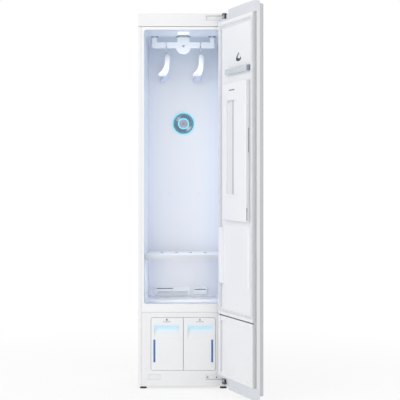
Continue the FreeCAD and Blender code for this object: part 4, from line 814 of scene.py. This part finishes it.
def tube(path, radius, across=(1, 0, 0), sides=14):
    # a circle carried along a path that bends in one plane; across is that plane's normal
    ahead = np.gradient(path, axis=0)
    ahead /= np.linalg.norm(ahead, axis=1, keepdims=True)
    first = np.tile(np.array(across, float), (len(path), 1))
    second = np.cross(ahead, first)
    turn = np.linspace(0, 2 * math.pi, sides, endpoint=False)
    ring = first[:, None] * np.cos(turn)[None, :, None] + second[:, None] * np.sin(turn)[None, :, None]
    return path[:, None] + radius * ring


def onDoor(u, v, z):
    # u runs across the door from its hinge edge and v out of its inner face; the door then turns open
    u, v, z = np.broadcast_arrays(u, v, z)
    pinX, pinY = doorHinge["pos_m"][:2]
    x, y = doorFrame["edge"] - u - pinX, doorFrame["inner"] + v - pinY
    cosine, sine = math.cos(doorFrame["turn"]), math.sin(doorFrame["turn"])
    return np.stack([pinX + x * cosine - y * sine, pinY + x * sine + y * cosine, z], axis=-1)


sealSet = {
    "halfWidth": 0.201, "low": 0.397, "high": 1.778, "corner": 0.010, "cornerSteps": 9,
    "half": 0.006, "rise": 0.0054, "squareness": 0.7, "sectionSteps": 9,
}


def makeSeal():
    # a cushion section, half a superellipse, carried round a rectangle with round corners
    s = sealSet
    path, outward = roundedFrame(s["halfWidth"], (s["high"] - s["low"]) / 2, s["corner"], s["cornerSteps"])
    path = path + (0, (s["high"] + s["low"]) / 2)
    bend = np.linspace(0, math.pi, s["sectionSteps"])
    across = s["half"] * squared(np.cos(bend), s["squareness"])
    rise = s["rise"] * squared(np.sin(bend), s["squareness"])
    flat = path[:, None] + outward[:, None] * across[None, :, None]
    points = onDoor(doorFrame["edge"] - flat[..., 0], rise, flat[..., 1])
    settle("doorSeal", gridMesh(points, True, True), "sealWhite", "door", "door_gasket")


hangerSet = {
    "reach": 0.168, "overrun": 1.03, "drop": 0.108, "droop": 1.45, "bow": 0.026, "flare": 6.0,
    "halfWide": (0.0125, 0.0225), "halfThick": (0.010, 0.009), "squareness": 3.0, "tipFrom": 0.93, "tip": 0.10,
    "thinnest": 0.0004, "shoulderTop": 1.656, "neckTop": 1.668, "neckRadius": 0.008, "neckBend": (0.4, 0.006),
    "neckTip": 0.75, "wire": 0.002, "hookSpan": 0.011, "hookBend": 0.0045, "hookRise": (-0.008, 0.002, 0.014),
    "hookEnd": 0.022, "notchFloor": 1.7083, "rows": 81, "columns": 32,
}


def makeHanger(side):
    # a superellipse swept along a drooping arm: the drop follows the distance from the hook to the power 1.45,
    # width and bow grow with its power 6, and both ends close like half an ellipse
    s = hangerSet
    hookX, hookY = jointNamed(side + "_hanger_swing")["pos_m"][:2]
    share = np.sin(np.linspace(-math.pi / 2, math.pi / 2, s["rows"])) * s["overrun"]
    away = np.abs(share)
    far = np.clip(away, 0, 1) ** s["flare"]
    tip = np.clip((away - s["tipFrom"]) / s["tip"], 0, 1)
    closing = np.sqrt(np.clip(1 - tip**2, s["thinnest"], 1))
    wide, thick = (closing * (near + (end - near) * far) for near, end in (s["halfWide"], s["halfThick"]))
    area = wide * thick * np.gradient(share)
    lean = float((s["bow"] * far * area).sum() / area.sum())
    alongX, alongY = hookX + lean - s["bow"] * far, hookY - s["reach"] * share
    alongZ = s["shoulderTop"] - s["drop"] * away ** s["droop"]
    slope = np.arctan2(s["drop"] * s["droop"] * away ** (s["droop"] - 1), s["reach"]) * np.sign(share)
    turn = np.linspace(0, 2 * math.pi, s["columns"], endpoint=False)
    across, over = squared(np.cos(turn), 2 / s["squareness"]), squared(np.sin(turn), 2 / s["squareness"])
    x = alongX[:, None] + wide[:, None] * across
    y = alongY[:, None] - (thick * np.sin(slope))[:, None] * over
    z = alongZ[:, None] + (thick * np.cos(slope))[:, None] * over
    shoulders = cappedMesh(np.stack([x, y, z], axis=-1))

    bent, below = s["neckBend"]
    neckPath = np.array([
        (hookX + lean, hookY, s["shoulderTop"]),
        (hookX + lean * bent, hookY, s["neckTop"] - below),
        (hookX, hookY, s["neckTop"]),
    ])
    neck = tube(neckPath, s["neckRadius"], (0, 1, 0), 20)
    neck[-1] = neckPath[-1] + (neck[-1] - neckPath[-1]) * s["neckTip"]
    body, whole = side + "_hanger", joinMeshes([shoulders, cappedMesh(neck)])
    settle(side + "Shoulders", whole, "hangerWhite", body, body)

    # the wire stands up from the neck, bends aside, over the notch and down again
    root, start, shoulder = (s["neckTop"] + rise for rise in s["hookRise"])
    saddle, span = s["notchFloor"] + s["wire"], s["hookSpan"]
    corners = [(0, root), (0, start), (-span, shoulder), (-span, saddle), (span, saddle)]
    corners.append((span, saddle - s["hookEnd"]))
    path = roundedPath([(hookX, hookY + aside, height) for aside, height in corners], s["hookBend"])
    settle(side + "Hook", cappedMesh(tube(path, s["wire"])), "screwSteel", body)


# Each pair of radii is an inner and an outer one.
fanSet = {
    "height": 1.325, "bezel": 0.060, "bezelThick": 0.006, "bezelRound": 0.003,
    "throat": 0.046, "throatRound": 0.001, "sleeveWall": 0.0037, "sleeveDeep": 0.014,
    "outerGlow": (0.0525, 0.058), "innerGlow": (0.0225, 0.0300), "glowRise": (0.005, 0.003), "innerBase": 0.006,
    "vanes": 24, "vaneThick": 0.0012, "vaneHalf": 0.0060, "vaneEnds": (0.001, 0.0015), "vaneRows": 10,
    "pitch": (52, 30), "sweep": 0.16, "camber": 0.0009, "flat": 0.40, "vaneFront": 0.003,
    "rimWall": (0.0002, 0.0012, 0.0024), "rimHigh": (0.0055, 0.006), "hubHigh": (0.002, 0.005, 0.006),
    "dome": 0.010, "domeFall": 0.0022, "groove": 0.00018, "grooves": 8, "grooveTo": 0.9,
}
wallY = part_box("fan_bezel")[0].y + fanSet["bezelThick"]
fanCentre = (0.0, wallY, fanSet["height"])


def halfRound(inner, outer, base, rise, steps=10):
    # a ring's section: half an ellipse standing on its base
    angle = np.linspace(0, math.pi, steps)
    middle, half = (inner + outer) / 2, (outer - inner) / 2
    arc = zip(middle + half * np.cos(angle), base + rise * np.sin(angle))
    return [*arc, (inner, base), (outer, base)]


def fanRing(profile, steps=96):
    # a closed section turned round the fan's axis
    return gridMesh(revolved(profile, fanCentre, steps), True, True)


def fanDisc(profile):
    # a line from the axis out and back to it, turned round the fan's axis
    return gridMesh(revolved(profile, fanCentre), False, True)


def fanVanes():
    # each vane spans from the hub to the rim, pitched steeply at the hub and flatter at the rim;
    # its camber falls with the square of the distance from the middle of its width
    s = fanSet
    rows = s["vaneRows"]
    hubEnd, rimEnd = s["innerGlow"][1] - s["vaneEnds"][0], s["outerGlow"][0] - s["vaneEnds"][1]
    radius = np.linspace(hubEnd, rimEnd, rows)[:, None]
    pitch = np.radians(np.linspace(*s["pitch"], rows))[:, None]
    chord = np.linspace(-1, 1, 7)
    aside, along = [], []
    for half, step in ((-0.5, 1), (0.5, -1)):
        lift = s["camber"] * (1 - chord**2) + half * s["vaneThick"]
        aside.append((s["vaneHalf"] * np.cos(pitch) * chord + np.sin(pitch) * lift)[:, ::step])
        along.append((-s["vaneHalf"] * s["flat"] * np.sin(pitch) * chord + np.cos(pitch) * lift)[:, ::step])
    aside, along = np.hstack(aside), np.hstack(along)
    front = wallY - s["bezelThick"] - s["vaneFront"]
    vanes = []
    for number in range(s["vanes"]):
        angle = 2 * math.pi * number / s["vanes"] + np.linspace(0, s["sweep"], rows)[:, None]
        x = fanCentre[0] + radius * np.cos(angle) - aside * np.sin(angle)
        z = fanCentre[2] + radius * np.sin(angle) + aside * np.cos(angle)
        vanes.append(cappedMesh(np.stack([x, front + along, z], axis=-1)))
    return vanes


def makeFan():
    s = fanSet
    t, edge, throat = s["bezelThick"], s["bezel"], s["throat"]
    outside = throat + s["sleeveWall"]
    bezel = [
        (throat, -s["sleeveDeep"]), (throat, t - s["throatRound"]), (throat + s["throatRound"], t),
        (edge - s["bezelRound"], t), (edge, t - s["bezelRound"]), (edge, 0.0), (outside, 0.0),
        (outside, -s["sleeveDeep"]),
    ]
    settle("fanBezel", fanRing(bezel), "fittingPlastic", "cabinet", "fan_bezel")
    outer = fanRing(halfRound(*s["outerGlow"], t, s["glowRise"][0]))
    inner = fanRing(halfRound(*s["innerGlow"], t + s["innerBase"], s["glowRise"][1]))
    settle("fanGlowRings", joinMeshes([outer, inner]), "ringGlow", "cabinet", "fan_light_rings")

    rimOut, rimTop, rimIn = (s["outerGlow"][0] - wall for wall in s["rimWall"])
    side, top = (t + high for high in s["rimHigh"])
    rim = [(rimOut, t), (rimOut, side), (rimTop, top), (rimIn, side), (rimIn, t)]
    back, side, top = (t + high for high in s["hubHigh"])
    hubEdge = s["innerGlow"][1]
    hub = [(0.0, back), (0.0, top), (hubEdge - 0.001, top), (hubEdge, side), (hubEdge, back)]
    parts = fanVanes() + [fanRing(rim), fanDisc(hub)]
    settle("fanVanes", joinMeshes(parts), "vaneSteel", "cabinet", "fan_guide_vanes")

    # the cap is a dome that falls with the square of the radius, with fine turned grooves
    capEdge = s["innerGlow"][0] - 0.0002
    share = np.linspace(0, 1, 48)
    wave = s["groove"] * (1 + np.cos(share * 2 * math.pi * s["grooves"])) * (share < s["grooveTo"])
    dome = t + s["dome"] - s["domeFall"] * share**2 - wave
    profile = list(zip(capEdge * share, dome)) + [(capEdge, t + s["innerBase"]), (0.0, t + s["innerBase"])]
    settle("fanCap", fanDisc(profile), "capSteel", "cabinet", "fan_cap", 60)


makeSeal()
for side in ("left", "right"):
    makeHanger(side)
makeFan()
print("seal, hangers and fan done")


# Across the door, up it and out of its inner face; the recess stops at the upper edge of a lip.
plateSet = {
    "across": (0.161, 0.294), "height": (0.951, 1.406), "deep": (0.0145, 0.030), "lipTop": 0.9605,
    "corner": 0.022, "steps": 12, "spare": 0.0002, "weld": 1e-5, "flat": 0.5,
}


def makePresserPlate():
    # the plate less a rounded prism: its long recess, open to the front
    s = plateSet
    halfWide, halfHigh = ((high - low) / 2 + s["spare"] for low, high in (s["across"], s["height"]))
    outline = roundedFrame(halfWide, halfHigh, s["corner"], s["steps"])[0]
    outline = outline + (sum(s["across"]) / 2, sum(s["height"]) / 2)
    outline[:, 1] = np.maximum(outline[:, 1], s["lipTop"])
    rows = [onDoor(outline[:, 0], v, outline[:, 1]) for v in s["deep"]]
    whole = nodes["presser_plate"].data.copy()
    whole.transform(nodes["presser_plate"].matrix_world)
    cutter = bpy.data.objects.new("cutter", weld(cappedMesh(np.stack(rows))))
    work = bpy.data.objects.new("work", whole)
    for thing in (cutter, work):
        scene.collection.objects.link(thing)
    cut = work.modifiers.new("recess", "BOOLEAN")
    cut.operation = "DIFFERENCE"
    cut.solver = "EXACT"
    cut.object = cutter
    mesh = bpy.data.meshes.new_from_object(work.evaluated_get(bpy.context.evaluated_depsgraph_get()))
    flat = bmesh.new()
    flat.from_mesh(mesh)
    bmesh.ops.remove_doubles(flat, verts=flat.verts, dist=s["weld"])
    bmesh.ops.dissolve_limit(flat, angle_limit=math.radians(s["flat"]), verts=flat.verts, edges=flat.edges)
    flat.to_mesh(mesh)
    flat.free()
    for thing in (cutter, work):
        data = thing.data
        bpy.data.objects.remove(thing)
        bpy.data.meshes.remove(data)
    piece = settle("presserPlate", mesh, "presserWhite", "presser", "presser_plate")
    # flat faces keep their own normal beside the rounded edges
    even = piece.modifiers.new("even", "WEIGHTED_NORMAL")
    even.keep_sharp = True
    even.weight = 100


screwSet = {
    "radius": 0.0033, "rise": 0.0016, "socket": 0.0014, "sunk": 0.0006, "crown": 0.82, "side": 0.55,
    "floor": 0.3, "leafX": (0.120, 0.164), "height": {"upper": 1.827, "lower": 0.057},
    "painted": linear(230, 232, 234), "bare": linear(96, 98, 103),
}


def socketScrew(centre, steps=48):
    # a low round head; its socket's edge lies at the half width over the cosine of the angle from the middle
    # of each flat
    s = screwSet
    turn = np.linspace(0, 2 * math.pi, steps, endpoint=False)
    hexagon = s["socket"] / np.cos(np.mod(turn, math.pi / 3) - math.pi / 6)
    full = np.full(steps, s["radius"])
    reach = np.stack([0 * full, full, full, full * s["crown"], hexagon, hexagon, 0 * full])
    height = s["rise"] * np.array([0, 0, s["side"], 1, 1, s["floor"], s["floor"]])[:, None] + 0 * reach
    x = centre[0] + reach * np.cos(turn)
    z = centre[2] + reach * np.sin(turn)
    return gridMesh(np.stack([x, centre[1] - height, z], axis=-1), closeAround=True)


def makeHingeScrews():
    # the upper pair is painted over with the leaf, the lower pair is bare
    s = screwSet
    mouldedPlastic("paintedScrew", s["painted"], 0.4)
    brushedMetal("hingeScrew", s["bare"], 0.35)
    for level, finish in (("upper", "paintedScrew"), ("lower", "hingeScrew")):
        heads = [socketScrew((x, caseFront + s["sunk"], s["height"][level])) for x in s["leafX"]]
        settle(level + "HingeScrews", joinMeshes(heads), finish, "cabinet")


plugSet = {
    "radius": 0.010, "rise": 0.0012, "colour": linear(231, 236, 243),
    "places": ((-0.0766, 0.955), (0.0793, 0.955)),
}


def makeWallPlugs():
    # two low blanking plugs in the cavity's back wall; each one's height is the root of one less the
    # fourth power of its radius
    s = plugSet
    share = np.linspace(0, 1, 12)
    height = s["rise"] * np.sqrt(np.clip(1 - share**4, 0, 1))
    profile = [(0.0, 0.0)] + list(zip(s["radius"] * share, height))
    plugs = [gridMesh(revolved(profile, (x, wallY, z), 40)) for x, z in s["places"]]
    # their pale blue is the cavity's painted blue light
    mouldedPlastic("plugWhite", s["colour"], 0.4)
    settle("wallPlugs", joinMeshes(plugs), "plugWhite", "cabinet")


markSet = {
    "thick": 0.0002, "steps": 40, "colour": linear(84, 87, 92), "dark": linear(52, 54, 58),
    "tankX": 0.0815, "tankZ": 0.3410, "tankHalf": (0.0050, 0.0050), "tankHole": 0.5, "tankHoleDown": 0.00075,
    "doorU": 0.243, "doorZ": 1.611, "doorHalf": (0.034, 0.021), "doorHole": 0.58, "holeShift": (0.007, 0.0035),
    "dash": (0.0040, 0.0024), "dashPitch": 0.0054, "dashCount": 7, "tankDashZ": 0.3300,
    "doorDash": (0.0088, 0.0056), "doorDashPitch": 0.0112, "doorDashCount": 6,
    "doorDashU": 0.228, "doorDashZ": 1.4545,
}


def dropOutline(halfWide, halfHigh):
    # a drop: across = half width x 1.3 sin t x sin(t/2) to the power 1.5, height = half height x cos t
    turn = np.linspace(0, 2 * math.pi, markSet["steps"], endpoint=False)
    across = halfWide * np.sin(turn) * np.abs(np.sin(turn / 2)) ** 1.5 * 1.3
    return np.stack([across, halfHigh * np.cos(turn)], axis=-1)


def platedMark(outline, hole, spread):
    # a printed mark as a thin plate; spread lays (across, height, thickness) on its surface
    rows = [(outline, 0.0), (outline, 1.0)]
    if hole is not None:
        rows += [(hole, 1.0), (hole, 0.0)]
    points = [spread(line[:, 0], line[:, 1], np.full(len(line), lift * markSet["thick"])) for line, lift in rows]
    return gridMesh(np.stack(points), closeAlong=hole is not None, closeAround=True, capEnd=hole is None)


def dashRow(size, pitch, count, height, spread):
    # a row of plain dashes that stands where a line of text would
    wide, high = size
    corner = np.array([(-wide, -high), (wide, -high), (wide, high), (-wide, high)]) / 2
    places = (np.arange(count) - (count - 1) / 2) * pitch
    return [platedMark(corner + (place, height), None, spread) for place in places]


def makeMarks():
    # a plain drop over a row of dashes on each tank, a larger drop on the door's liner, dashes on the presser
    m = markSet
    mouldedPlastic("printGrey", m["colour"], 0.5)
    mouldedPlastic("printDark", m["dark"], 0.5)
    lifted = (0, m["tankZ"])
    full = dropOutline(*m["tankHalf"])
    inner = full * m["tankHole"] - (0, m["tankHoleDown"])
    for name, middle, hole in (("clean", -m["tankX"], None), ("drain", m["tankX"], inner + lifted)):

        def onTank(across, height, lift):
            return np.stack([middle + across, caseFront - lift, height], axis=-1)

        pieces = [platedMark(full + lifted, hole, onTank)]
        pieces += dashRow(m["dash"], m["dashPitch"], m["dashCount"], m["tankDashZ"], onTank)
        settle(name + "TankMark", joinMeshes(pieces), "printGrey", name + "_tank")

    def onLiner(across, height, lift):
        return onDoor(m["doorU"] + across, lift - doorRecess, height)

    def onPlate(across, height, lift):
        return onDoor(m["doorDashU"] + across, lift + presserLook["face"], height)

    lifted = (0, m["doorZ"])
    big = dropOutline(*m["doorHalf"])
    drop = platedMark(big + lifted, big * m["doorHole"] + m["holeShift"] + lifted, onLiner)
    settle("doorMark", drop, "printDark", "door")
    dashes = dashRow(m["doorDash"], m["doorDashPitch"], m["doorDashCount"], m["doorDashZ"], onPlate)
    settle("presserMark", joinMeshes(dashes), "printGrey", "presser")


makePresserPlate()
makeHingeScrews()
makeWallPlugs()
makeMarks()
print("screws, plugs and marks done")


# floor, lights and camera

studio = {
    "ambient": 0.66, "floorSize": 14.0, "floorColour": linear(250, 250, 250), "floorFade": (0.5, 2.2, 0.75, 1.0)
}
lamps = {
    "key": {"energy": 72.0, "size": 2.6, "place": (-2.9, -3.9, 3.4), "aim": (0.0, 0.0, 1.0)},
    "fill": {"energy": 30.0, "size": 3.0, "place": (2.8, -4.8, 2.2), "aim": (0.2, -0.2, 1.0)},
    "back": {"energy": 33.0, "size": 2.4, "place": (0.8, 3.6, 3.2), "aim": (0.0, 0.0, 1.2)},
    # lights in the cavity's mouth, over and under the shelf, that shine on its back wall
    "upperInside": {
        "energy": 0.57, "size": 0.30, "tall": 0.90, "place": (0.0, caseFront + 0.03, 1.25),
        "aim": (0.0, 0.14, 1.25), "colour": (0.965, 0.98, 1.0),
    },
    "shelfInside": {
        "energy": 0.105, "size": 0.30, "tall": 0.13, "place": (0.0, caseFront + 0.075, 0.735),
        "aim": (0.0, 0.14, 0.735), "colour": (0.98, 0.98, 1.0),
    },
    "lowerInside": {
        "energy": 0.27, "size": 0.30, "tall": 0.12, "place": (0.0, caseFront + 0.075, 0.53),
        "aim": (0.0, 0.14, 0.53), "colour": (0.98, 0.98, 1.0),
    },
}


def seenDirectly(wiring):
    # 1 for rays that should meet plain white: from the camera, from a mirror or through glass
    path = wiring.add("LightPath")
    first = wiring.math("MAXIMUM", path.outputs["Is Camera Ray"], path.outputs["Is Glossy Ray"])
    return wiring.math("MAXIMUM", first, path.outputs["Is Transmission Ray"])


def makeWorld():
    scene.world = bpy.data.worlds.new("studioAir")
    scene.world.use_nodes = True
    wiring = Wiring(scene.world.node_tree)
    air, white, blend = wiring.tree.nodes["Background"], wiring.add("Background"), wiring.add("MixShader")
    for node, strength in ((air, studio["ambient"]), (white, 1.0)):
        node.inputs["Color"].default_value = (1, 1, 1, 1)
        node.inputs["Strength"].default_value = strength
    for number, source in enumerate((seenDirectly(wiring), air.outputs[0], white.outputs[0])):
        wiring.link(source, blend.inputs[number])
    wiring.link(blend.outputs[0], wiring.tree.nodes["World Output"].inputs["Surface"])


def makeFloor():
    corners = np.array([(-1, -1, 0), (1, -1, 0), (1, 1, 0), (-1, 1, 0)]) * studio["floorSize"] / 2
    mesh = bpy.data.meshes.new("floor")
    mesh.from_pydata(corners.tolist(), [], [(0, 1, 2, 3)])
    floor = bpy.data.objects.new("floor", mesh)
    scene.collection.objects.link(floor)
    shader = Shader("floorWhite", 0.8, 0.1)
    shader.colour(mottled(shader, studio["floorColour"], 0.004, 2.0))
    white, blend = shader.add("Emission"), shader.add("MixShader")
    white.inputs["Color"].default_value = (1, 1, 1, 1)
    white.inputs["Strength"].default_value = 1.0
    # far from the object the floor runs into the white air behind it
    away = shader.add("VectorMath", operation="LENGTH")
    shader.link(shader.place, away.inputs[0])
    share = shader.both(shader.ramp(away.outputs["Value"], *studio["floorFade"]), seenDirectly(shader))
    for number, source in enumerate((share, shader.surface.outputs[0], white.outputs[0])):
        shader.link(source, blend.inputs[number])
    shader.link(blend.outputs[0], shader.tree.nodes["Material Output"].inputs["Surface"])
    mesh.materials.append(shader.material)


def makeLight(name, energy, size, place, aim, colour=(1, 1, 1), tall=None):
    data = bpy.data.lights.new(name, "AREA")
    data.energy = energy
    data.size = size
    if tall:
        data.shape = "RECTANGLE"
        data.size_y = tall
    data.color = colour
    lamp = bpy.data.objects.new(name, data)
    scene.collection.objects.link(lamp)
    lamp.location = place
    lamp.rotation_euler = (Vector(aim) - Vector(place)).to_track_quat("-Z", "Y").to_euler()


makeWorld()
makeFloor()
for name, settings in lamps.items():
    makeLight(name, **settings)

cameraSet = {"x": 0.0182, "height": 1.029, "distance": 5.835, "lens": 106.56, "shiftX": 0.0325, "shiftY": -0.05}
cameraData = bpy.data.cameras.new("camera")
cameraData.sensor_width = 36
cameraData.lens = cameraSet["lens"]
cameraData.shift_x = cameraSet["shiftX"]
cameraData.shift_y = cameraSet["shiftY"]
camera = bpy.data.objects.new("camera", cameraData)
scene.collection.objects.link(camera)
camera.location = (cameraSet["x"], caseFront - cameraSet["distance"], cameraSet["height"])
camera.rotation_euler = (math.radians(90), 0, 0)
scene.camera = camera
scene.view_settings.view_transform = "Standard"
print("studio done")
